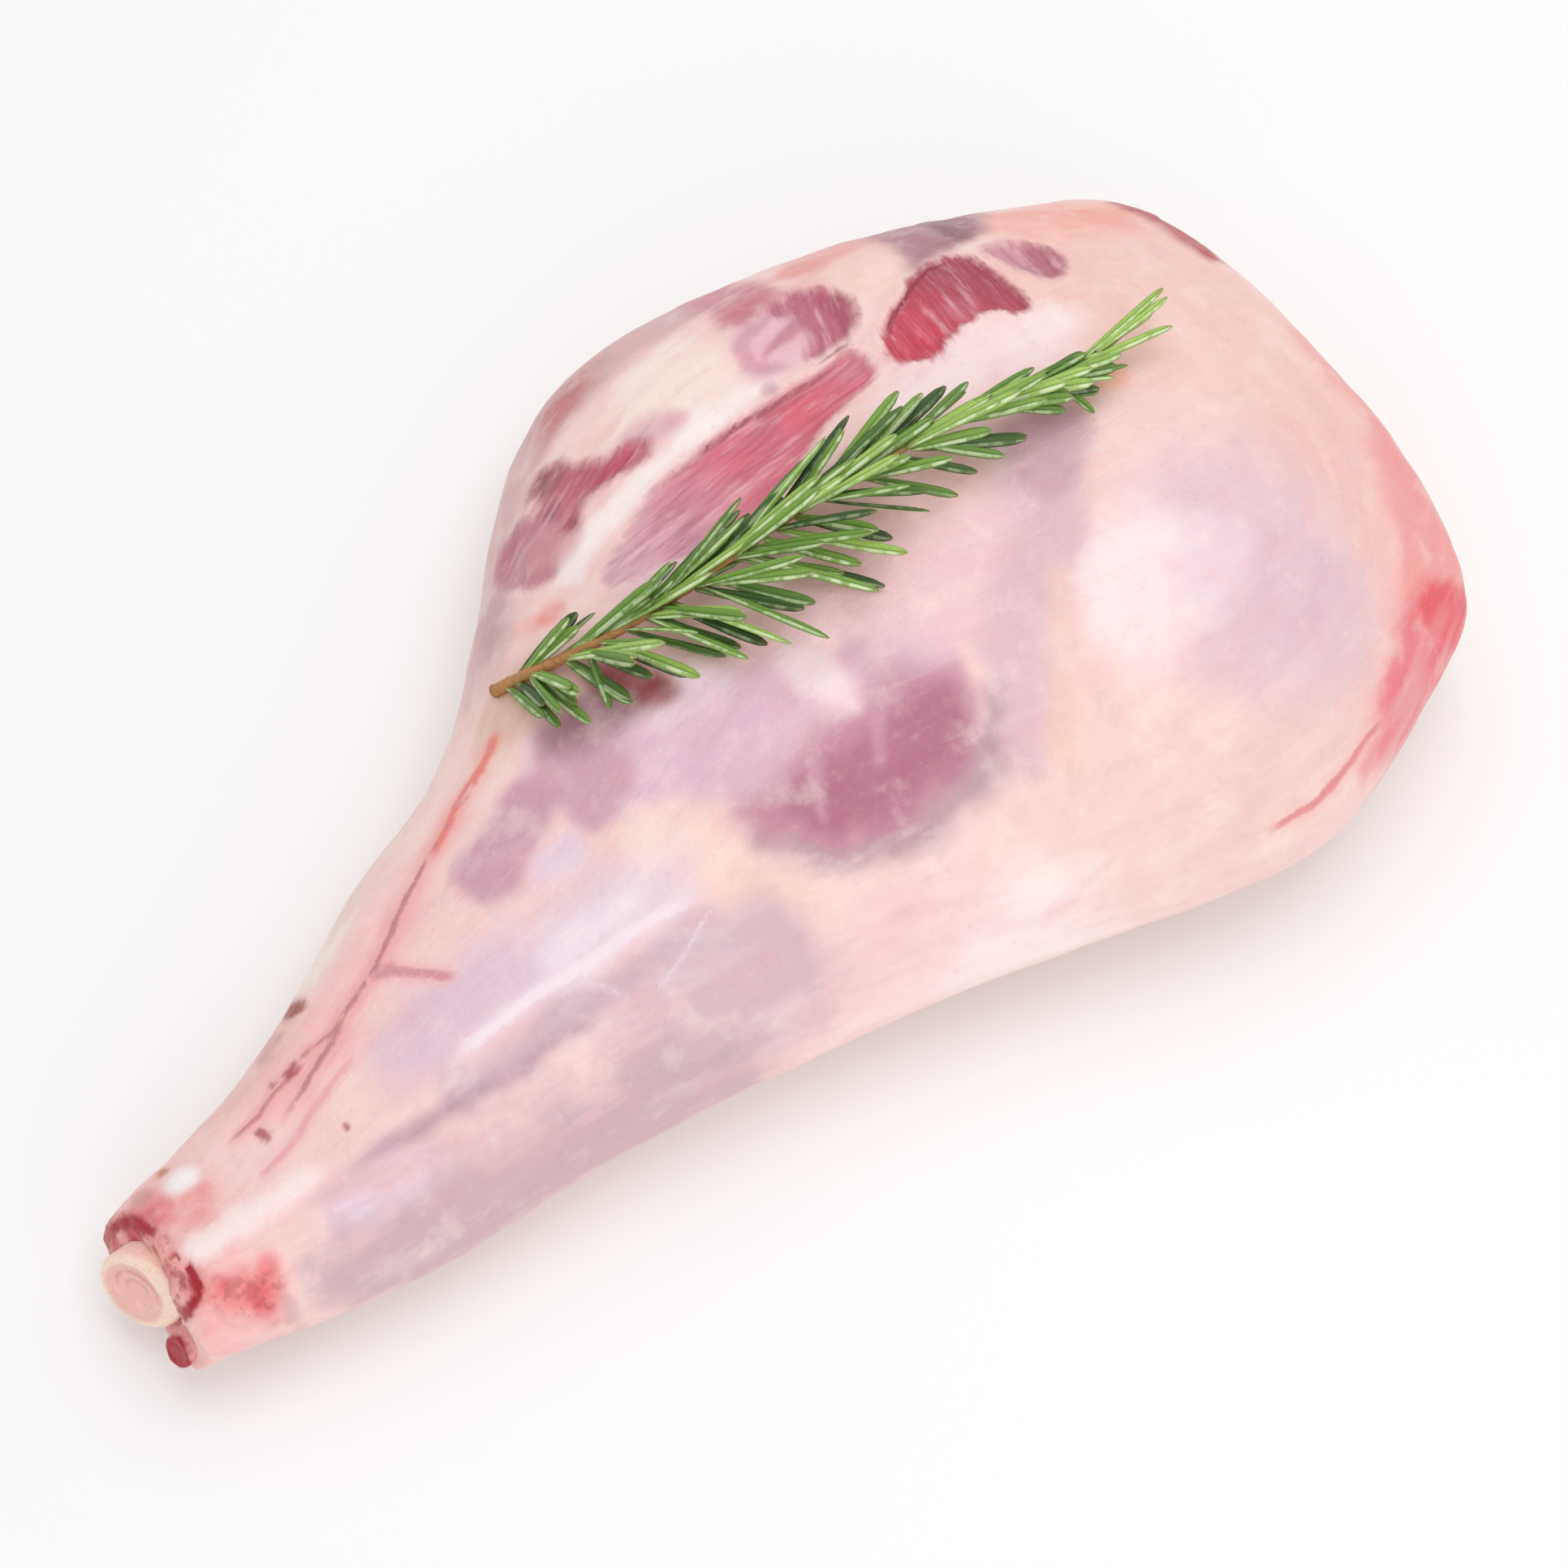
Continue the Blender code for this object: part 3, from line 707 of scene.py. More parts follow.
# Muscles laid bare by the knife: the two shades between which they turn and where each is full, heading of
# the fibres in degrees from along, raggedness of the edge in millimetres, white veil (0 to 1), softness of
# the edge in millimetres, and outline.
BARED = {
    "inner_round": (((208, 60, 84), (304, 64)), ((176, 66, 90), (328, 74)), 80, 5.0, 0.45, 1.6,
        ((295, 66), (298, 71), (304, 75), (310, 78), (314, 81), (320, 83), (327, 83), (331, 80), (333, 74),
         (333, 66), (333, 58), (331, 52), (327, 53), (324, 57), (319, 59), (314, 58), (308, 58), (303, 56),
         (298, 57), (295, 61))),
    "small_crescent": (((214, 152, 166), (339, 70)), ((186, 106, 122), (347, 66)), 78, 4.0, 0.7, 2.2,
        ((337, 78), (342, 78), (347, 74), (350, 68), (350, 62), (347, 58), (342, 58), (339, 66))),
    "front_lean": (((206, 124, 146), (282, 90)), ((184, 86, 110), (297, 90)), 66, 4.0, 0.5, 2.4,
        ((284, 102), (292, 101), (298, 97), (301, 90), (299, 84), (296, 80), (290, 77), (282, 77),
         (279, 79), (283, 83), (285, 88), (284, 94), (282, 99))),
    "long_strip": (((230, 180, 196), (207, 64)), ((224, 114, 136), (250, 64)), 0, 2.5, 0.55, 2.2,
        ((203, 63), (208, 68), (216, 71), (226, 75), (240, 76), (256, 75), (268, 73), (280, 72), (287, 74),
         (289, 68), (288, 62), (280, 60), (270, 59), (262, 57), (256, 54), (248, 51), (236, 51), (224, 52),
         (214, 57), (205, 60))),
    "far_patch": (((204, 140, 154), (194, 90)), ((196, 96, 114), (220, 90)), 20, 3.0, 0.45, 2.6,
        ((190, 82), (188, 88), (190, 94), (196, 98), (205, 99), (208, 104), (213, 107), (218, 104),
         (219, 99), (225, 94), (233, 91), (234, 86), (228, 84), (221, 87), (214, 87), (209, 83), (205, 84),
         (204, 90), (200, 92), (195, 90), (193, 84))),
}
bare = np.full(len(places), -60.0)
meat = np.tile(tint(200, 110, 130), (len(places), 1))
grain = np.zeros((len(places), 3))
ragged = np.zeros(len(places))
veil = np.zeros(len(places))
softness = np.ones(len(places))
for number, (first, last, heading, rag, haze, soft, outline) in enumerate(BARED.values()):
    inside = near_outline(flat + 0.5 * wander, rounded(outline, closed=True, steps=3))
    nearer = inside > bare
    bare = np.maximum(bare, inside)
    (first_shade, first_spot), (last_shade, last_spot) = first, last
    way = np.subtract(last_spot, first_spot)
    turn = ramp((flat - first_spot) @ way / (way @ way), 0, 1)
    shade = tint(*first_shade) + np.outer(turn, tint(*last_shade) - tint(*first_shade))
    meat[nearer] = shade[nearer]
    angle = math.radians(heading)
    ahead = flat @ (math.cos(angle), math.sin(angle))
    aside = flat @ (-math.sin(angle), math.cos(angle))
    grain[nearer] = np.stack([ahead, aside, places[:, 2] + 50 * number], 1)[nearer]
    ragged[nearer] = rag
    veil[nearer] = haze
    softness[nearer] = soft
bare = np.where(facing_up > 0.5, bare, -60)

# Patches within the bared muscles: colour, radius in millimetres, strength, and place on the map.
PATCHES = (
    ((140, 78, 84), 7, 0.85, (212, 105)), ((196, 66, 100), 6, 0.7, (224, 87)),
    ((194, 72, 104), 5, 0.7, (230, 86)), ((150, 60, 78), 3, 0.8, (207, 93)),
    ((156, 54, 76), 3, 0.8, (208, 85)), ((206, 154, 164), 5, 0.8, (198, 90)),
    ((216, 58, 80), 6, 0.7, (303, 63)), ((214, 76, 98), 5, 0.6, (306, 70)),
    ((212, 124, 142), 5, 0.6, (318, 64)), ((150, 50, 70), 3, 0.6, (324, 80)),
    ((168, 60, 84), 4, 0.5, (331, 66)), ((160, 62, 84), 4, 0.6, (298, 90)),
    ((212, 150, 170), 7, 0.7, (222, 56)), ((226, 92, 104), 8, 0.5, (270, 66)),
    ((214, 138, 160), 6, 0.5, (232, 64)), ((232, 168, 178), 4, 0.6, (241, 60)),
    ((196, 84, 108), 5, 0.4, (258, 70)), ((218, 150, 162), 4, 0.5, (284, 68)),
)
for shade, radius, strength, spot in PATCHES:
    away = np.linalg.norm(loose - spot, axis=1)
    meat = lay_on(meat, shade, strength * ramp(away, radius * 1.4, radius * 0.3))

# Lines on the leg, in millimetres: colour, half width, halo's colour and half width, height of the ridge,
# and points.
LINES = {
    "vein_crimson": ((232, 134, 124), 1.3, (246, 168, 158), 5.0, 0.3,
        ((162, 53), (152, 48), (143, 44), (135, 40), (126, 35))),
    "vein": ((200, 134, 140), 0.8, (240, 160, 162), 5.5, 0.45,
        ((146, 45), (135, 40), (127, 36), (115, 30), (105, 24), (97, 20), (88, 17), (82, 13), (75, 10),
         (67, 6), (58, 3))),
    "second_vein": ((208, 140, 144), 0.7, (240, 160, 160), 3.5, 0.3,
        ((88, 17), (82, 15), (75, 15), (69, 13), (62, 11), (55, 9), (46, 9))),
    "vein_branch": ((218, 150, 160), 1.3, (240, 172, 180), 4.0, 0.3,
        ((97, 20), (101, 18), (104, 15), (107, 11), (110, 8), (114, 5))),
    "rose_seam": ((238, 174, 180), 0.9, (244, 184, 186), 3.0, 0.2, ((46, -5), (60, -2), (72, 2), (84, 6))),
    # The shin's pale ridge, with a painted highlight along it.
    "pale_shin_ridge_and_highlight": ((252, 228, 226), 3.2, (250, 214, 214), 6.0, 0.5,
        ((20, -10), (28, -10), (38, -11), (50, -12), (62, -12))),
    "tendon_line": ((232, 212, 222), 0.4, (226, 204, 216), 1.6, 0.3,
        ((134, -12), (137, -17), (140, -22), (142, -27))),
    "tendon_fork": ((230, 210, 221), 0.4, (224, 202, 214), 1.6, 0.3,
        ((172, -23), (164, -25), (156, -28), (148, -30))),
    "calf_edge": ((246, 228, 236), 1.6, (240, 220, 230), 5.0, 0.3,
        ((100, -11), (120, -11), (140, -14), (158, -16), (170, -20))),
    "round_rim": ((150, 46, 68), 0.6, (184, 72, 94), 1.8, 0.0,
        ((298, 70), (304, 74), (310, 77), (315, 80), (322, 82), (328, 81))),
    "strip_shadow": ((180, 88, 104), 0.8, (226, 144, 160), 2.0, -0.2,
        ((240, 75), (252, 75), (264, 73), (276, 72), (286, 73))),
    "butt_line": ((232, 146, 144), 0.6, (248, 192, 184), 2.4, -0.3,
        ((338, -82), (328, -84), (316, -87), (304, -88), (294, -86))),
    "dot_front": ((190, 112, 116), 1.2, (230, 160, 160), 2.4, 0.0, ((54, 2), (54.5, 4), (54, 7))),
    "dot_mid": ((186, 98, 106), 1.5, (236, 150, 154), 3.0, 0.0, ((67, 13), (69, 13.5), (72, 14))),
    "dot_side": ((194, 114, 118), 0.9, (236, 160, 160), 2.2, 0.0, ((63, 14), (65, 14.5))),
    "dot_low": ((188, 112, 122), 1.0, (238, 190, 194), 2.0, 0.0, ((70, -8), (71.5, -8))),
    "bruise": ((164, 78, 70), 2.4, (206, 140, 132), 5.0, -0.3, ((78, 38), (79, 34), (80, 30), (79, 27))),
    "rust_streak": ((198, 130, 92), 1.2, (226, 160, 140), 3.0, 0.0, ((30, 22), (31, 18), (31, 14))),
    "gap_tear": ((172, 8, 32), 1.5, (206, 50, 62), 4.5, -0.6,
        ((11, 15), (15, 13), (18, 10), (19, 5), (21, 0))),
    "gap_tear_low": ((168, 8, 32), 1.4, (210, 60, 72), 4.0, -0.6,
        ((20, -6), (21, -12), (20, -17), (17, -19), (13, -16))),
}
FAR_OFF = 9.0                  # half widths, far enough from a line for it not to show
upper_side = facing_up * ramp(normals[:, 1], 0.92, 0.78)      # lines end where the far side turns steep
line_near = np.full(len(places), FAR_OFF)
line_shade = np.tile(tint(*FASCIA), (len(places), 1))
line_strength = np.zeros(len(places))
flow_ridge = np.zeros(len(places))
for shade, half, halo, halo_half, ridge, line in LINES.values():
    gap, reach = near_line(flat + 0.5 * wander, rounded(line))
    taper = ramp(reach, -0.02, 0.12) * ramp(reach, 1.02, 0.85) * upper_side
    skin = lay_on(skin, halo, ramp(gap, halo_half, half) * 0.6 * taper)
    nearer = gap / half < line_near
    line_near[nearer] = (gap / half)[nearer]
    line_shade[nearer] = tint(*shade)
    line_strength[nearer] = taper[nearer]
    flow_ridge += ridge * ramp(gap, half * 2.2, 0) * taper

# The sawn end is raw red tissue, and the skin behind it is flushed.
CUT_NORMAL = np.array((-0.91, 0.08, 0.39))
CUT_NORMAL /= np.linalg.norm(CUT_NORMAL)
RAW_RED, RAW_PALE = tint(206, 70, 78), tint(246, 170, 160)
behind_cut = (places - (12, 0, 22)) @ -CUT_NORMAL
skin = lay_on(skin, (240, 140, 140), 0.55 * ramp(behind_cut, 24, 2))
raw = ramp(behind_cut + noise(places, 4, 6), 3.5, 0.5) * ramp(places[:, 1], -21, -13)
raw_shade = RAW_RED + np.outer(ramp(noise(places, 5, 7), -0.2, 0.6), RAW_PALE - RAW_RED)
skin += raw[:, None] * (raw_shade - skin)

# Spots: colour, radius in millimetres, strength, and place on the map.
SPOTS = (
    ((244, 140, 132), 5, 0.8, (188, 68)), ((244, 176, 168), 4, 0.7, (183, 72)),
    ((186, 148, 150), 7, 0.7, (176, 78)), ((190, 150, 154), 8, 0.7, (180, 86)),
    ((198, 140, 136), 3.0, 0.6, (67, 24)), ((200, 142, 134), 3.5, 0.6, (71, 27)),
    ((226, 66, 76), 3.8, 0.95, (31, -26)), ((242, 146, 146), 5, 0.6, (30, -22)),
    ((236, 110, 112), 3.2, 0.7, (37, -22)), ((230, 96, 102), 2.6, 0.7, (25, -19)),
    ((236, 122, 124), 6, 0.85, (25, 5)), ((240, 144, 142), 6, 0.75, (33, 1)),
    ((214, 76, 84), 4, 0.85, (21, 5)), ((200, 120, 112), 3.5, 0.7, (24, 13)),
    # The near-white spot at (33, 8.5) is white gristle with a painted highlight on it.
    ((250, 196, 190), 3.5, 0.8, (14, -22)), ((255, 250, 248), 5.0, 1.0, (33, 8.5)),
    # The near-white spots at (28, -10) and (38, -11) are a painted highlight on the shin's ridge.
    ((206, 116, 136), 2.6, 0.7, (102, 17)), ((254, 236, 232), 5.0, 0.9, (28, -10)),
    ((254, 234, 230), 5.0, 0.85, (38, -11)), ((196, 140, 144), 2.6, 0.6, (36, -31)),
    ((204, 160, 170), 2.6, 0.8, (267, 77)), ((252, 186, 164), 5.0, 0.8, (332, 21)),
    ((226, 170, 178), 4.0, 0.7, (244, 87)), ((236, 150, 140), 6.0, 0.6, (302, 110)),
)
for shade, radius, strength, spot in SPOTS:
    away = np.linalg.norm(loose - spot, axis=1)
    skin = lay_on(skin, shade, strength * ramp(away, radius * 1.3, radius * 0.4) * facing_up)

skin = lay_on(skin, UNDERSIDE, 0.7 * (1 - facing_up))

# Paler and darker bands of fibre show in the whole fascia.
for shade, strength, values, low, high in (
        ((255, 238, 236), 0.15, band, 0.1, 0.9), ((210, 156, 172), 0.10, band, -0.1, -0.9),
        ((255, 240, 238), 0.05, streak, 0.3, 1), ((196, 140, 158), 0.05, streak, -0.3, -1)):
    skin = lay_on(skin, shade, strength * ramp(values, low, high) * facing_up)

# Streamlines run along the leg and fan out with it, and the fat's fine streaks follow them.
LANES = 140                    # millimetres that the leg's width counts for, wherever it is
stations = np.arange(15, 396, 5)
slices = [flat[np.abs(flat[:, 0] - at) < 4, 1] for at in stations]
low_here = np.interp(flat[:, 0], stations, [part.min() for part in slices])
high_here = np.interp(flat[:, 0], stations, [part.max() for part in slices])
lane = (flat[:, 1] - low_here) / (high_here - low_here)
flow = np.stack([flat[:, 0], lane * LANES, places[:, 2]], 1)

# Relief: bared muscle lies under the fat's ragged lip, veins and tendons stand proud, and the fat is lumpy.
lip = ramp(bare, -4.5, -0.6) * ramp(bare, 0.9, -0.6) / softness
relief = 0.75 * lip - 0.75 * ramp(bare, -0.3, 1.8)
relief += flow_ridge
relief += 0.32 * noise(places, 13, 8) + 0.16 * noise(places, 6, 9)
relief += (0.12 * streak + 0.22 * band) * facing_up
relief += raw * 0.8 * noise(places, 4, 12)
relief += ramp(places[:, 0], 60, 20) * 0.45 * noise(places, 5, 14)
relief *= ramp(places[:, 2], 0, 4)
places = places + normals * relief[:, None]
places[:, 2] = np.maximum(places[:, 2], 0)
put_places(leg, places)
paint(leg, "skin", np.clip(skin, 0, 1))
paint(leg, "meat", np.clip(meat, 0, 1))
paint(leg, "line shade", line_shade)
blooded = near_outline(loose, rounded(FIELDS["shank_blood"][-1], closed=True, steps=3))
raw = np.maximum(raw, 0.6 * ramp(blooded, -2, 3))
for name, values in (("line near", line_near), ("line strength", line_strength), ("bare", bare),
                     ("ragged", ragged), ("veil", veil), ("raw", raw), ("softness", softness),
                     ("grain", grain), ("flow", flow)):
    write_down(leg, name, values)

flesh = Finish("moist lamb")
where = flesh.place()
fibres_at = flesh.attribute("grain")["Vector"]
flow_at = flesh.attribute("flow")["Vector"]
edge_wear = flesh.grain(where, 420, 5)
comb = flesh.grain(flesh.scaled(fibres_at, (0.05, 0.34, 0.05)), 1.0, 4)
edge = flesh.sum("MULTIPLY_ADD", flesh.sum("SUBTRACT", edge_wear, 0.5), 2.6, flesh.attribute("bare")["Fac"])
edge = flesh.sum("MULTIPLY_ADD", flesh.sum("MULTIPLY", flesh.sum("SUBTRACT", comb, 0.5), 1.6),
                 flesh.attribute("ragged")["Fac"], edge)
bared = flesh.range(flesh.sum("DIVIDE", edge, flesh.attribute("softness")["Fac"]), -1, 1)

strands = flesh.grain(flesh.scaled(fibres_at, (0.06, 0.62, 0.08)), 1.0, 5, 0.6)
threads = flesh.grain(flesh.scaled(fibres_at, (0.09, 1.8, 0.2)), 1.0, 3)
haze = flesh.grain(flesh.scaled(fibres_at, (0.05, 0.26, 0.06)), 1.0, 5, 0.65)
muscle = flesh.shaded(flesh.attribute("meat")["Color"], (strands, 0.40, 0.70, 0.42, (150, 46, 72)),
                      (threads, 0.48, 0.75, 0.22, (244, 170, 180)))
muscle = flesh.mix(flesh.sum("MULTIPLY", flesh.range(haze, 0.48, 0.72), flesh.attribute("veil")["Fac"]),
                   muscle, tint(250, 210, 218))
muscle = flesh.mix(flesh.range(edge, 0.2, 2.4, 0.2, 0.0), muscle, tint(150, 62, 82))

streaks = flesh.grain(flesh.scaled(flow_at, (0.03, 0.42, 0.03)), 1.0, 5, 0.6)
mottle = flesh.grain(where, 70, 5, 0.6)
fine = flesh.grain(where, 900, 4)
wisps = flesh.grain(where, 190, 6, 0.7)
fat = flesh.shaded(
    flesh.attribute("skin")["Color"],
    (streaks, 0.45, 0.75, 0.10, (214, 160, 176)), (streaks, 0.44, 0.25, 0.12, (255, 240, 238)),
    (mottle, 0.50, 0.72, 0.24, (240, 176, 178)), (mottle, 0.48, 0.30, 0.26, (255, 240, 230)),
    (wisps, 0.54, 0.72, 0.14, (255, 244, 242)), (wisps, 0.45, 0.32, 0.14, (214, 160, 178)))
clots = flesh.grain(where, 260, 4)
open_cut = flesh.attribute("raw")["Fac"]
for low, high, share, shade in ((0.46, 0.62, 0.7, (156, 20, 40)), (0.42, 0.30, 0.6, (248, 180, 170))):
    clotted = flesh.sum("MULTIPLY", flesh.range(clots, low, high, 0, share), open_cut)
    fat = flesh.mix(clotted, fat, tint(*shade))
wavering = flesh.sum("MULTIPLY_ADD", flesh.sum("SUBTRACT", edge_wear, 0.5), 1.6,
                     flesh.attribute("line near")["Fac"])
drawn = flesh.sum("MULTIPLY", flesh.range(wavering, 1.5, 0.4), flesh.attribute("line strength")["Fac"])
flesh_colour = flesh.mix(drawn, flesh.mix(bared, fat, muscle), flesh.attribute("line shade")["Color"])
flesh.set(base_color=flesh_colour,
          roughness=flesh.sum("MULTIPLY_ADD", mottle, 0.24, flesh.range(bared, 0, 1, 0.34, 0.26)),
          subsurface_weight=0.25, subsurface_radius=(1.0, 0.35, 0.25), subsurface_scale=0.003,
          coat_weight=0.12, coat_roughness=0.25)
height = flesh.sum("MULTIPLY_ADD", wisps, 0.45, flesh.sum("MULTIPLY", streaks, 0.25))
height = flesh.sum("MULTIPLY_ADD", fine, 0.10, height)
height = flesh.sum("MULTIPLY_ADD", flesh.sum("MULTIPLY", strands, bared), 0.5, height)
height = flesh.sum("MULTIPLY_ADD", bared, -0.5, height)
flesh.bump(height)
leg.data.materials.append(flesh.material)
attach(leg, "root")
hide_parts("leg_meat")

# --------------------------------------------------------------------------------------- rosemary, its stem
# A freshly cut sprig: a young shoot with a woody brown butt, orange-brown bark that shows between the
# needles, and a soft green tip. It is laid over the leg and rests on its lower needles.
STEM_PATH = ((167, 63), (175, 57), (185, 51), (195, 47), (205, 45), (218, 42), (232, 41), (248, 39),
             (264, 37), (282, 34), (300, 31), (314, 28), (328, 26), (341, 28), (352, 31))
# Share of the stem's length, and its height over the meat there in millimetres.
STEM_LIFT = ((0, 1.6), (0.06, 3), (0.2, 6.5), (0.5, 7.5), (0.8, 6.5), (1, 5))
STEM_BUTT_RADIUS = 1.7
STEM_TIP_RADIUS = 0.5
STEM_SIDES = 10
STEM_ROUNDS = 12               # rounds of smoothing, so that the stem spans the meat's small hollows
STEM_STEPS = 150
STEM_NODES = 30                # slight swellings, evenly spaced along the stem
SKY = 0.3                      # metres, a height over everything

leg_skin = bmesh.new()
leg_skin.from_mesh(leg.data)
ground = BVHTree.FromBMesh(leg_skin)
leg_skin.free()


def height_at(x, y):
    """Height of the leg's skin over a place, in metres, or the board's."""
    hit = ground.ray_cast(Vector((x, y, SKY)), Vector((0, 0, -1)))[0]
    return hit.z if hit else 0.0


def on_map(along, across):
    return map_origin[0] + along * MM, map_origin[1] + across * MM


stem_line = []
trace = rounded(STEM_PATH, steps=8)
for k, (along, across) in enumerate(trace):
    x, y = on_map(along, across)
    share = k / (len(trace) - 1)
    lift = np.interp(share, *zip(*STEM_LIFT))
    stem_line.append(Vector((x, y, height_at(x, y) + lift * MM)))
for _ in range(STEM_ROUNDS):
    inner_points = [(a + b * 2 + c) / 4 for a, b, c in zip(stem_line, stem_line[1:], stem_line[2:])]
    stem_line = [stem_line[0], *inner_points, stem_line[-1]]


def stem_at(share):
    """Point and direction of the stem at a share of its length."""
    place = share * (len(stem_line) - 1)
    k = min(int(place), len(stem_line) - 2)
    point = stem_line[k].lerp(stem_line[k + 1], place - k)
    low, high = max(k - 1, 0), min(k + 2, len(stem_line) - 1)
    return point, (stem_line[high] - stem_line[low]).normalized()


def ringed(name, mesh, loops):
    """A bmesh's rings of points made into a smooth closed skin, as mesh data. The bmesh is used up."""
    count = len(loops[0])
    for low, high in zip(loops, loops[1:]):
        for n in range(count):
            mesh.faces.new((low[n], low[(n + 1) % count], high[(n + 1) % count], high[n]))
    mesh.faces.new(reversed(loops[0]))
    mesh.faces.new(loops[-1])
    bmesh.ops.recalc_face_normals(mesh, faces=mesh.faces)
    data = bpy.data.meshes.new(name)
    mesh.to_mesh(data)
    mesh.free()
    data.shade_smooth()
    return data


def swept(name, points, radii, sides):
    """A closed tube along points, with a radius at each, and its length in millimetres as an attribute."""
    mesh = bmesh.new()
    reach = mesh.verts.layers.float.new("reach")
    loops = []
    passed = 0.0
    for k, point in enumerate(points):
        ahead = (points[min(k + 1, len(points) - 1)] - points[max(k - 1, 0)]).normalized()
        side = ahead.cross(Vector((0, 0, 1))).normalized()
        top = side.cross(ahead)
        passed += (point - points[max(k - 1, 0)]).length / MM
        loop = []
        for n in range(sides):
            angle = 2 * math.pi * n / sides
            vert = mesh.verts.new(point + (side * math.cos(angle) + top * math.sin(angle)) * radii[k])
            vert[reach] = passed
            loop.append(vert)
        loops.append(loop)
    return new_object(name, ringed(name, mesh, loops))


stem_points = []
stem_radii = []
for k in range(STEM_STEPS + 1):
    share = k / STEM_STEPS
    point, _ = stem_at(share)
    stem_points.append(point)
    radius = STEM_BUTT_RADIUS + (STEM_TIP_RADIUS - STEM_BUTT_RADIUS) * share ** 0.7
    swell = 0.16 * max(0, math.cos(share * 2 * math.pi * STEM_NODES)) ** 4
    stem_radii.append((radius * (1 + swell)) * MM)
stem = swept("rosemary_stem", stem_points, stem_radii, STEM_SIDES)

bark = Finish("rosemary bark")
ridges = bark.grain(bark.scaled(bark.place(), (300, 300, 1600)), 1.0, 4)
bark_colour = bark.mix(ridges, tint(214, 156, 92), tint(134, 88, 48))
bark_colour = bark.shaded(bark_colour, (bark.attribute("reach")["Fac"], 90, 180, 1, (150, 176, 88)))
bark.set(base_color=bark_colour, roughness=0.6)
bark.bump(bark.sum("MULTIPLY", ridges, 0.3))
stem.data.materials.append(bark.material)
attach(stem, "root")

# ----------------------------------------------------------------------------------- rosemary, its needles
# The needles are narrow leathery leaves in tight whorls, 15 to 40 mm long. Their edges roll under, so the
# top is glossy green with a sunk midrib, and the underside is pale felt. They sweep towards the tip.
NEEDLE_RINGS = (0, 0.12, 0.35, 0.6, 0.8, 0.92, 0.98, 1)          # shares of a needle's length
NEEDLE_PROFILE = ((-1, 0), (-0.62, 0.42), (-0.12, 0.34), (0, 0.22), (0.12, 0.34), (0.62, 0.42), (1, 0),
                  (0.45, -0.30), (-0.45, -0.30))
# Each kind of needle droops and sways by its own share.
NEEDLE_BENDS = ((0.02, 0.0), (-0.07, 0.03), (-0.10, -0.06), (0.05, 0.08), (-0.16, 0.02))


def needle_kind(number, droop, sway):
    """One needle along +Y, 1 long and 2 wide, with the shares that its finish reads."""
    mesh = bmesh.new()
    side_layer = mesh.verts.layers.float.new("aside")
    top_layer = mesh.verts.layers.float.new("top")
    reach_layer = mesh.verts.layers.float.new("reach")
    loops = []
    for share in NEEDLE_RINGS:
        width = 0.42 + 0.58 * math.sin(math.pi * min(share * 1.25 + 0.12, 1) / 2) if share < 0.6 else 1.0
        width *= 1 if share < 0.8 else math.sqrt(max(0.05, 1 - ((share - 0.8) / 0.2) ** 2))
        bend = 8 * share ** 2
        loop = []
        for aside, rise in NEEDLE_PROFILE:
            vert = mesh.verts.new((aside * width + sway * bend, share, rise * width + droop * bend))
            vert[side_layer] = aside
            vert[top_layer] = 1.0 if rise >= 0 else 0.0
            vert[reach_layer] = share
            loop.append(vert)
        loops.append(loop)
    name = f"needle_kind_{number}"
    return bpy.data.objects.new(name, ringed(name, mesh, loops))


kinds = bpy.data.collections.new("needle kinds")
for number, (droop, sway) in enumerate(NEEDLE_BENDS):
    kinds.objects.link(needle_kind(number, droop, sway))

leaf = Finish("rosemary needle")
signed = leaf.attribute("aside")["Fac"]
aside = leaf.sum("ABSOLUTE", signed)
tone = leaf.attribute("tone")["Fac"]
dots = leaf.grain(leaf.place(), 1500, 3)
streaked = leaf.grain(leaf.place(), 260, 2)
# The green grows lighter with a needle's tone, which is partly chance and partly painted shade on the lower
# needles.
green = leaf.shaded(tint(38, 68, 16), (tone, 0.0, 0.5, 1, (116, 158, 54)),
                    (tone, 0.45, 1.0, 1, (174, 206, 100)), (dots, 0.4, 0.7, 0.2, (60, 96, 38)),
                    (aside, 0.16, 0.02, 0.5, (54, 88, 32)))
# Painted highlight: a pale stripe along one side of each needle, stronger on the upper needles, for their
# waxy sheen.
sheen = leaf.sum("MULTIPLY", leaf.range(signed, 0.08, 0.34), leaf.range(signed, 0.98, 0.66))
sheen = leaf.sum("MULTIPLY", sheen, leaf.range(streaked, 0.40, 0.58, 0.15, 0.9))
sheen = leaf.sum("MULTIPLY", sheen, leaf.range(tone, 0.1, 0.6, 0.35, 1))
green = leaf.mix(sheen, green, tint(222, 236, 192))
reach = leaf.attribute("reach")["Fac"]
green = leaf.shaded(green, (reach, 0.16, 0.0, 0.5, (196, 200, 124)),
                    (reach, 0.90, 1.0, 0.4, (120, 112, 60)),
                    (leaf.attribute("top")["Fac"], 0.55, 0.35, 1, (196, 206, 168)))
leaf.set(base_color=green, roughness=leaf.range(dots, 0.3, 0.7, 0.42, 0.58),
         coat_weight=0.06, coat_roughness=0.3)
leaf.bump(leaf.sum("MULTIPLY", dots, 0.12))


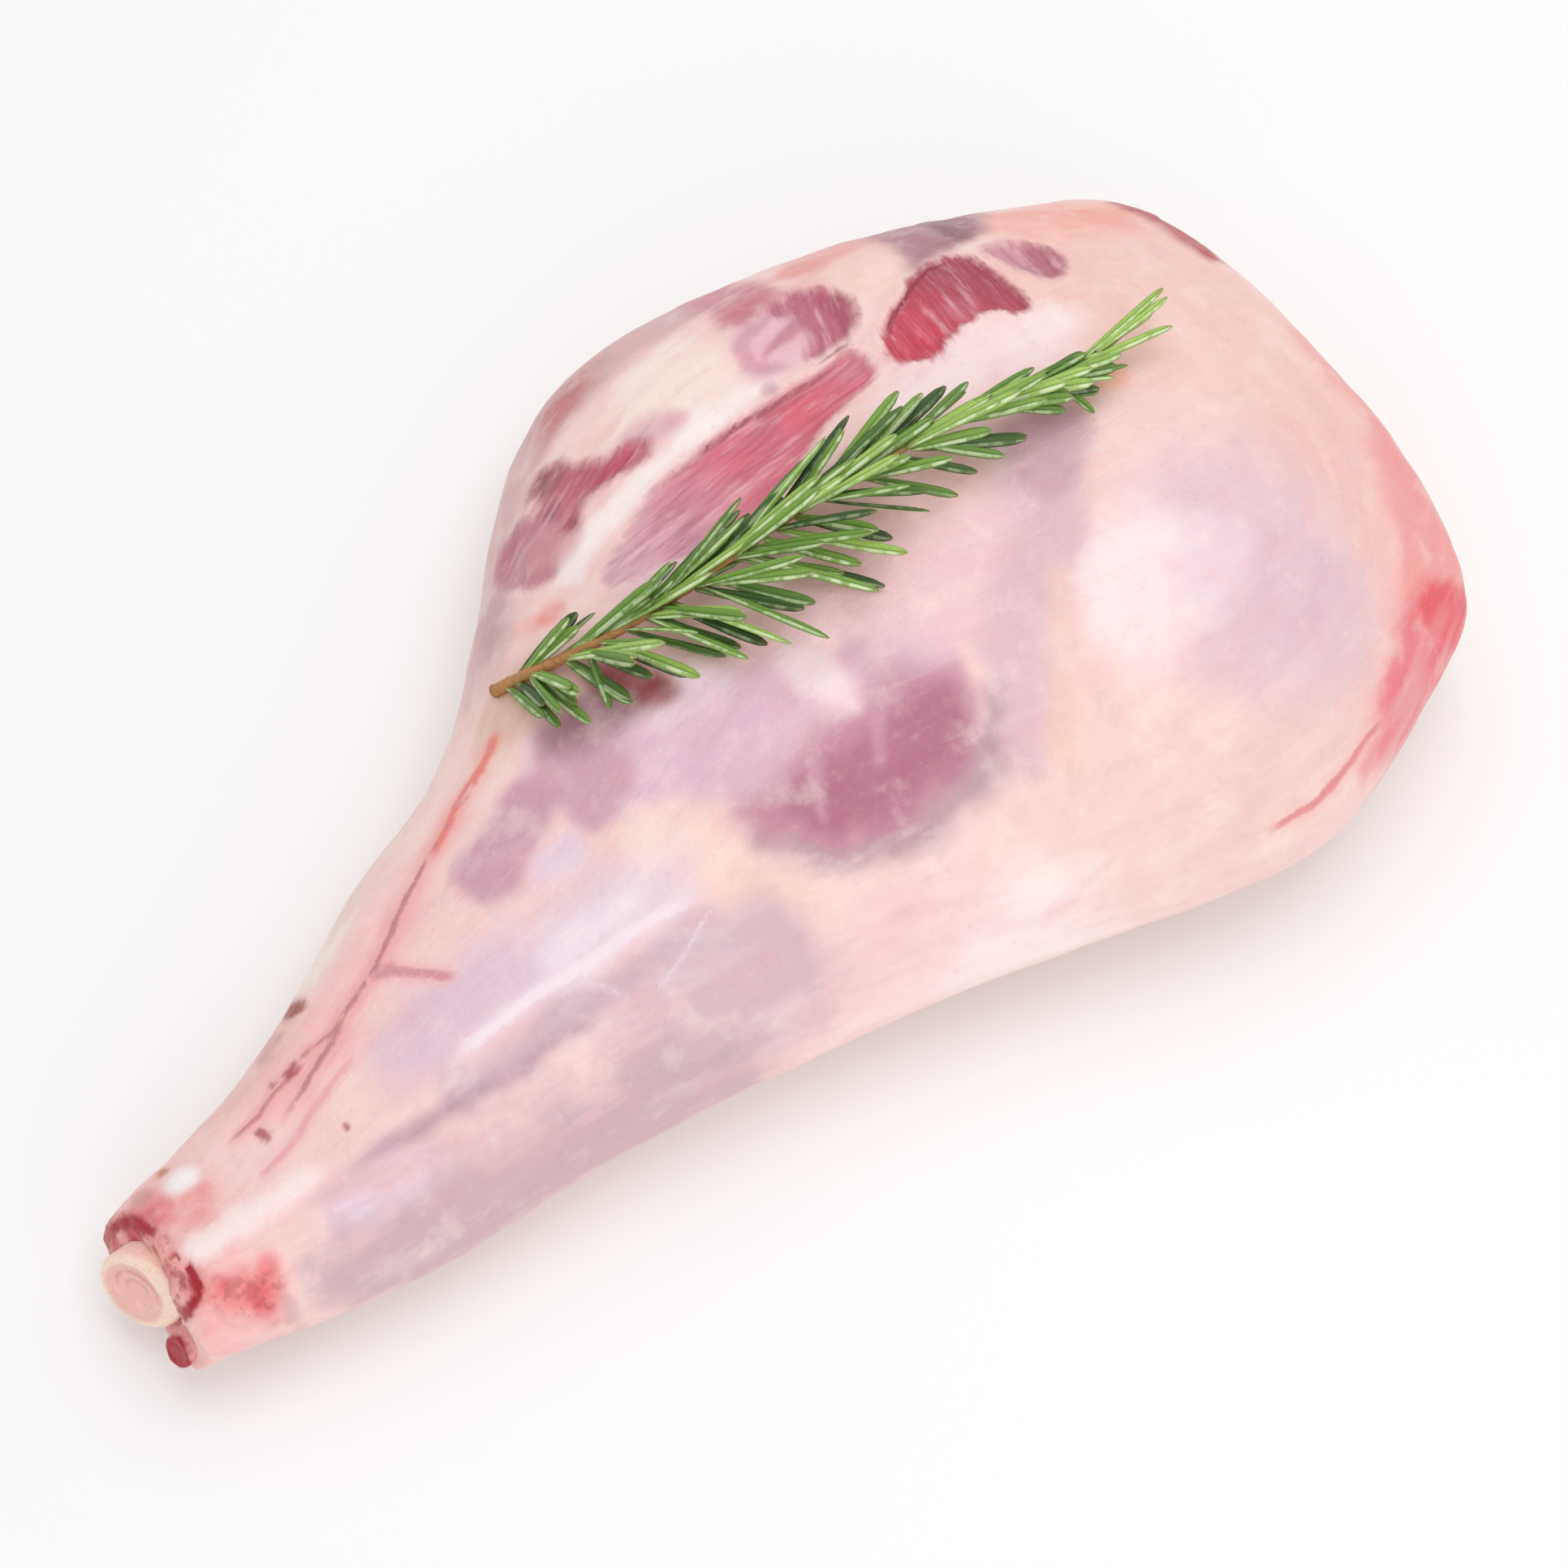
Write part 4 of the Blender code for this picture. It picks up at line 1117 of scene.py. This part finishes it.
def needle_tree():
    """Geometry nodes that set a needle on each point, aimed, sized and toned by the point's attributes."""
    tree = bpy.data.node_groups.new("set needles", "GeometryNodeTree")
    face = tree.interface
    face.new_socket("Bases", in_out="INPUT", socket_type="NodeSocketGeometry")
    face.new_socket("Kinds", in_out="INPUT", socket_type="NodeSocketCollection")
    face.new_socket("Size", in_out="INPUT", socket_type="NodeSocketFloat")
    face.new_socket("Finish", in_out="INPUT", socket_type="NodeSocketMaterial")
    face.new_socket("Needles", in_out="OUTPUT", socket_type="NodeSocketGeometry")
    nodes, link = tree.nodes, tree.links.new
    given = nodes.new("NodeGroupInput").outputs
    result = nodes.new("NodeGroupOutput").inputs

    def read(name, kind):
        made = nodes.new("GeometryNodeInputNamedAttribute")
        made.data_type = kind
        made.inputs["Name"].default_value = name
        return made.outputs["Attribute"]

    shapes = nodes.new("GeometryNodeCollectionInfo")
    shapes.inputs["Separate Children"].default_value = True
    shapes.inputs["Reset Children"].default_value = True
    aimed = nodes.new("FunctionNodeAxesToRotation")
    aimed.primary_axis = "Y"
    aimed.secondary_axis = "Z"
    sized = nodes.new("ShaderNodeVectorMath")
    sized.operation = "SCALE"
    placed = nodes.new("GeometryNodeInstanceOnPoints")
    placed.inputs["Pick Instance"].default_value = True
    whole = nodes.new("GeometryNodeRealizeInstances")
    dressed = nodes.new("GeometryNodeSetMaterial")
    link(given["Kinds"], shapes.inputs["Collection"])
    link(read("aim", "FLOAT_VECTOR"), aimed.inputs["Primary Axis"])
    link(read("facing", "FLOAT_VECTOR"), aimed.inputs["Secondary Axis"])
    link(read("size", "FLOAT_VECTOR"), sized.inputs[0])
    link(given["Size"], sized.inputs["Scale"])
    link(given["Bases"], placed.inputs["Points"])
    link(shapes.outputs[0], placed.inputs["Instance"])
    link(read("kind", "INT"), placed.inputs["Instance Index"])
    link(aimed.outputs[0], placed.inputs["Rotation"])
    link(sized.outputs[0], placed.inputs["Scale"])
    link(placed.outputs[0], whole.inputs[0])
    link(whole.outputs[0], dressed.inputs["Geometry"])
    link(given["Finish"], dressed.inputs["Material"])
    link(dressed.outputs[0], result["Needles"])
    return tree


# Needles leave the stem in small clusters. Round the stem 0 is the top, +90 the near side and -90 the far
# side. The low ones are pressed down on the meat, and the bark shows where no top ones lie on the stem.
CLUSTERS = 21
FIRST_CLUSTER, LAST_CLUSTER = 0.05, 0.79
TOP_FROM = 0.41                # share of the stem from which needles also lie over its top
STATIONS = (0, 0.2, 0.36, 0.5, 0.64, 0.8)
NEAR_SPLAY = (46, 48, 52, 48, 36, 22)        # degrees off the stem at these shares of it
FAR_SPLAY = (28, 10, 14, 12, 6, 2)
LENGTHS = (21, 29, 35, 32, 25, 19)
# Layers: range of angles round the stem, share of that side's splay, and tone.
# The lower layers' low tone is painted shade: a darker green where they lie under the upper needles.
LAYERS = (((74, 96), 1.0, 0.15), ((-98, -78), 1.1, 0.15), ((50, 72), 0.9, 0.55), ((-72, -48), 0.9, 0.5),
          ((18, 40), 0.6, 0.85), ((-36, -10), 0.5, 0.85))
OVER_MEAT = 1.6                # millimetres, the least height of a needle's middle and tip over the meat
OFF_MIDDLE = 1.1               # millimetres from the middle of the stem to where a needle starts
LEFT_OUT = 0.12                # share of a cluster's places that stay empty
DOUBLED = 0.4                  # share of the side needles that come in twos
chance = np.random.default_rng(7)
bases, aims, facings, sizes, tones, picks = [], [], [], [], [], []


def add_needle(share, round_stem, splay, length, width, tone):
    """One needle: where it leaves the stem, its angle round the stem and off it, its size and its shade."""
    point, ahead = stem_at(share)
    side = ahead.cross(Vector((0, 0, 1))).normalized()
    top = side.cross(ahead)
    turn, tilt = math.radians(round_stem), math.radians(splay)
    away = top * math.cos(turn) + side * math.sin(turn)
    start = point + away * OFF_MIDDLE * MM
    tip = start + (ahead * math.cos(tilt) + away * math.sin(tilt)) * length * MM
    tip.z = max(tip.z, height_at(tip.x, tip.y) + OVER_MEAT * MM)
    middle = start.lerp(tip, 0.5)
    short = height_at(middle.x, middle.y) + OVER_MEAT * MM - middle.z
    if short > 0:
        start.z += short * 0.6
        tip.z += short * 1.4
    bases.append(start)
    aims.append((tip - start).normalized())
    facings.append((Vector((0, 0, 1)) * 1.2 + away * 0.5 + Vector(chance.normal(0, 0.55, 3))).normalized())
    sizes.append((width, (tip - start).length / MM, width))
    tones.append(float(np.clip(tone, 0, 1)))
    picks.append(int(chance.integers(len(NEEDLE_BENDS))))


for cluster in range(CLUSTERS):
    share = FIRST_CLUSTER + (LAST_CLUSTER - FIRST_CLUSTER) * cluster / (CLUSTERS - 1)
    share += chance.uniform(-0.012, 0.012)
    length = float(np.interp(share, STATIONS, LENGTHS))
    for (low, high), part, tone in LAYERS:
        on_top = abs(low + high) < 70
        splay = part * float(np.interp(share, STATIONS, NEAR_SPLAY if high > 0 else FAR_SPLAY))
        if (on_top and share < TOP_FROM) or chance.random() < LEFT_OUT:
            continue
        for _ in range(2 if chance.random() < DOUBLED and not on_top else 1):
            add_needle(share + chance.uniform(-0.01, 0.01), chance.uniform(low, high),
                       splay + chance.normal(0, 5), length * chance.uniform(0.72, 1.12),
                       chance.uniform(1.2, 1.7), tone + chance.normal(0, 0.2))
# The young tip is a loose tuft, and a few single needles stand out from the rest.
for share, round_stem, splay, length, tone in (
        (0.82, 20, 3, 24, 0.9), (0.84, -60, 10, 31, 0.8), (0.85, 75, 5, 24, 0.85),
        (0.87, -20, 3, 25, 1.0), (0.88, 70, 20, 19, 0.75), (0.84, -85, 5, 25, 0.7),
        (0.8, 88, 68, 13, 0.4), (0.48, -84, 24, 25, 0.5), (0.56, -84, 20, 27, 0.55),
        (0.16, 85, 76, 18, 0.3), (0.03, 80, 42, 22, 0.3), (0.05, 88, 50, 25, 0.25),
        (0.07, 70, 54, 22, 0.4), (0.13, 50, 28, 38, 0.9), (0.19, 80, 46, 32, 0.75),
        (0.27, 84, 56, 31, 0.6), (0.31, 80, 52, 36, 0.85), (0.35, 84, 58, 38, 0.4),
        (0.41, 82, 55, 38, 0.6), (0.46, 80, 52, 35, 0.85)):
    add_needle(share, round_stem, splay, length, 1.5 if share < 0.8 else 1.05, tone)

needle_data = bpy.data.meshes.new("rosemary_needles")
needle_data.from_pydata(bases, [], [])
needles = new_object("rosemary_needles", needle_data)
for name, kind, values in (("aim", "FLOAT_VECTOR", aims), ("facing", "FLOAT_VECTOR", facings),
                           ("size", "FLOAT_VECTOR", sizes), ("tone", "FLOAT", tones),
                           ("kind", "INT", picks)):
    layer = needle_data.attributes.new(name, kind, "POINT")
    layer.data.foreach_set("vector" if kind == "FLOAT_VECTOR" else "value", np.array(values).ravel())
setting = needles.modifiers.new("set needles", "NODES")
setting.node_group = needle_tree()
sockets = setting.node_group.interface.items_tree
inputs = {socket.name: socket.identifier for socket in sockets if socket.in_out == "INPUT"}
setting[inputs["Kinds"]] = kinds
setting[inputs["Size"]] = MM
setting[inputs["Finish"]] = leaf.material
made = bpy.data.meshes.new_from_object(needles.evaluated_get(bpy.context.evaluated_depsgraph_get()))
needles.modifiers.clear()
needles.data = made
made.name = "rosemary_needles"
made.shade_smooth()
for shape in list(kinds.objects):
    bpy.data.objects.remove(shape)
bpy.data.collections.remove(kinds)
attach(needles, "root")
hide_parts("rosemary_sprig")

# ----------------------------------------------------------------------------------------- floor and light
# A plain white table under a bright even studio sky, with two large soft lamps for the moist sheen.
floor_mesh = bmesh.new()
bmesh.ops.create_grid(floor_mesh, x_segments=1, y_segments=1, size=3)
floor_data = bpy.data.meshes.new("table")
floor_mesh.to_mesh(floor_data)
floor_mesh.free()
floor = new_object("table", floor_data)
plain = Finish("plain white")
plain.set(base_color=(0.97, 0.97, 0.97), roughness=0.8)
floor_data.materials.append(plain.material)
floor_data.transform(Matrix.Translation((0, 0, -0.0004)))

world = bpy.data.worlds.new("studio")
bpy.context.scene.world = world
world.use_nodes = True
world.node_tree.nodes["Background"].inputs["Color"].default_value = (1.0, 1.0, 1.0, 1)
world.node_tree.nodes["Background"].inputs["Strength"].default_value = 0.70


def lamp(name, place, aim, size, power):
    light = bpy.data.lights.new(name, "AREA")
    light.shape = "SQUARE"
    light.size = size
    light.energy = power
    made = new_object(name, light)
    made.location = place
    made.rotation_euler = (Vector(aim) - Vector(place)).to_track_quat("-Z", "Y").to_euler()


lamp("key", (0.25, 0.12, 0.95), (0.05, 0, 0), 0.9, 3.2)
lamp("fill", (-0.35, -0.95, 0.50), (0.0, -0.05, 0), 1.2, 3.3)

# ------------------------------------------------------------------------------------------------- camera
CAMERA_ELEVATION = math.radians(64)
CAMERA_AZIMUTH = math.radians(-38)
CAMERA_DISTANCE = 0.9486
CAMERA_TARGET = Vector(map_origin) + Vector((215.5, 6.6, 28)) * MM
back = Vector((math.sin(CAMERA_AZIMUTH) * math.cos(CAMERA_ELEVATION),
               -math.cos(CAMERA_AZIMUTH) * math.cos(CAMERA_ELEVATION), math.sin(CAMERA_ELEVATION)))
camera_data = bpy.data.cameras.new("camera")
camera_data.lens = 85
camera_data.sensor_width = 36
camera = new_object("camera", camera_data)
camera.location = CAMERA_TARGET + back * CAMERA_DISTANCE
camera.rotation_euler = back.to_track_quat("Z", "Y").to_euler()
bpy.context.scene.camera = camera
bpy.context.scene.view_settings.view_transform = "Standard"
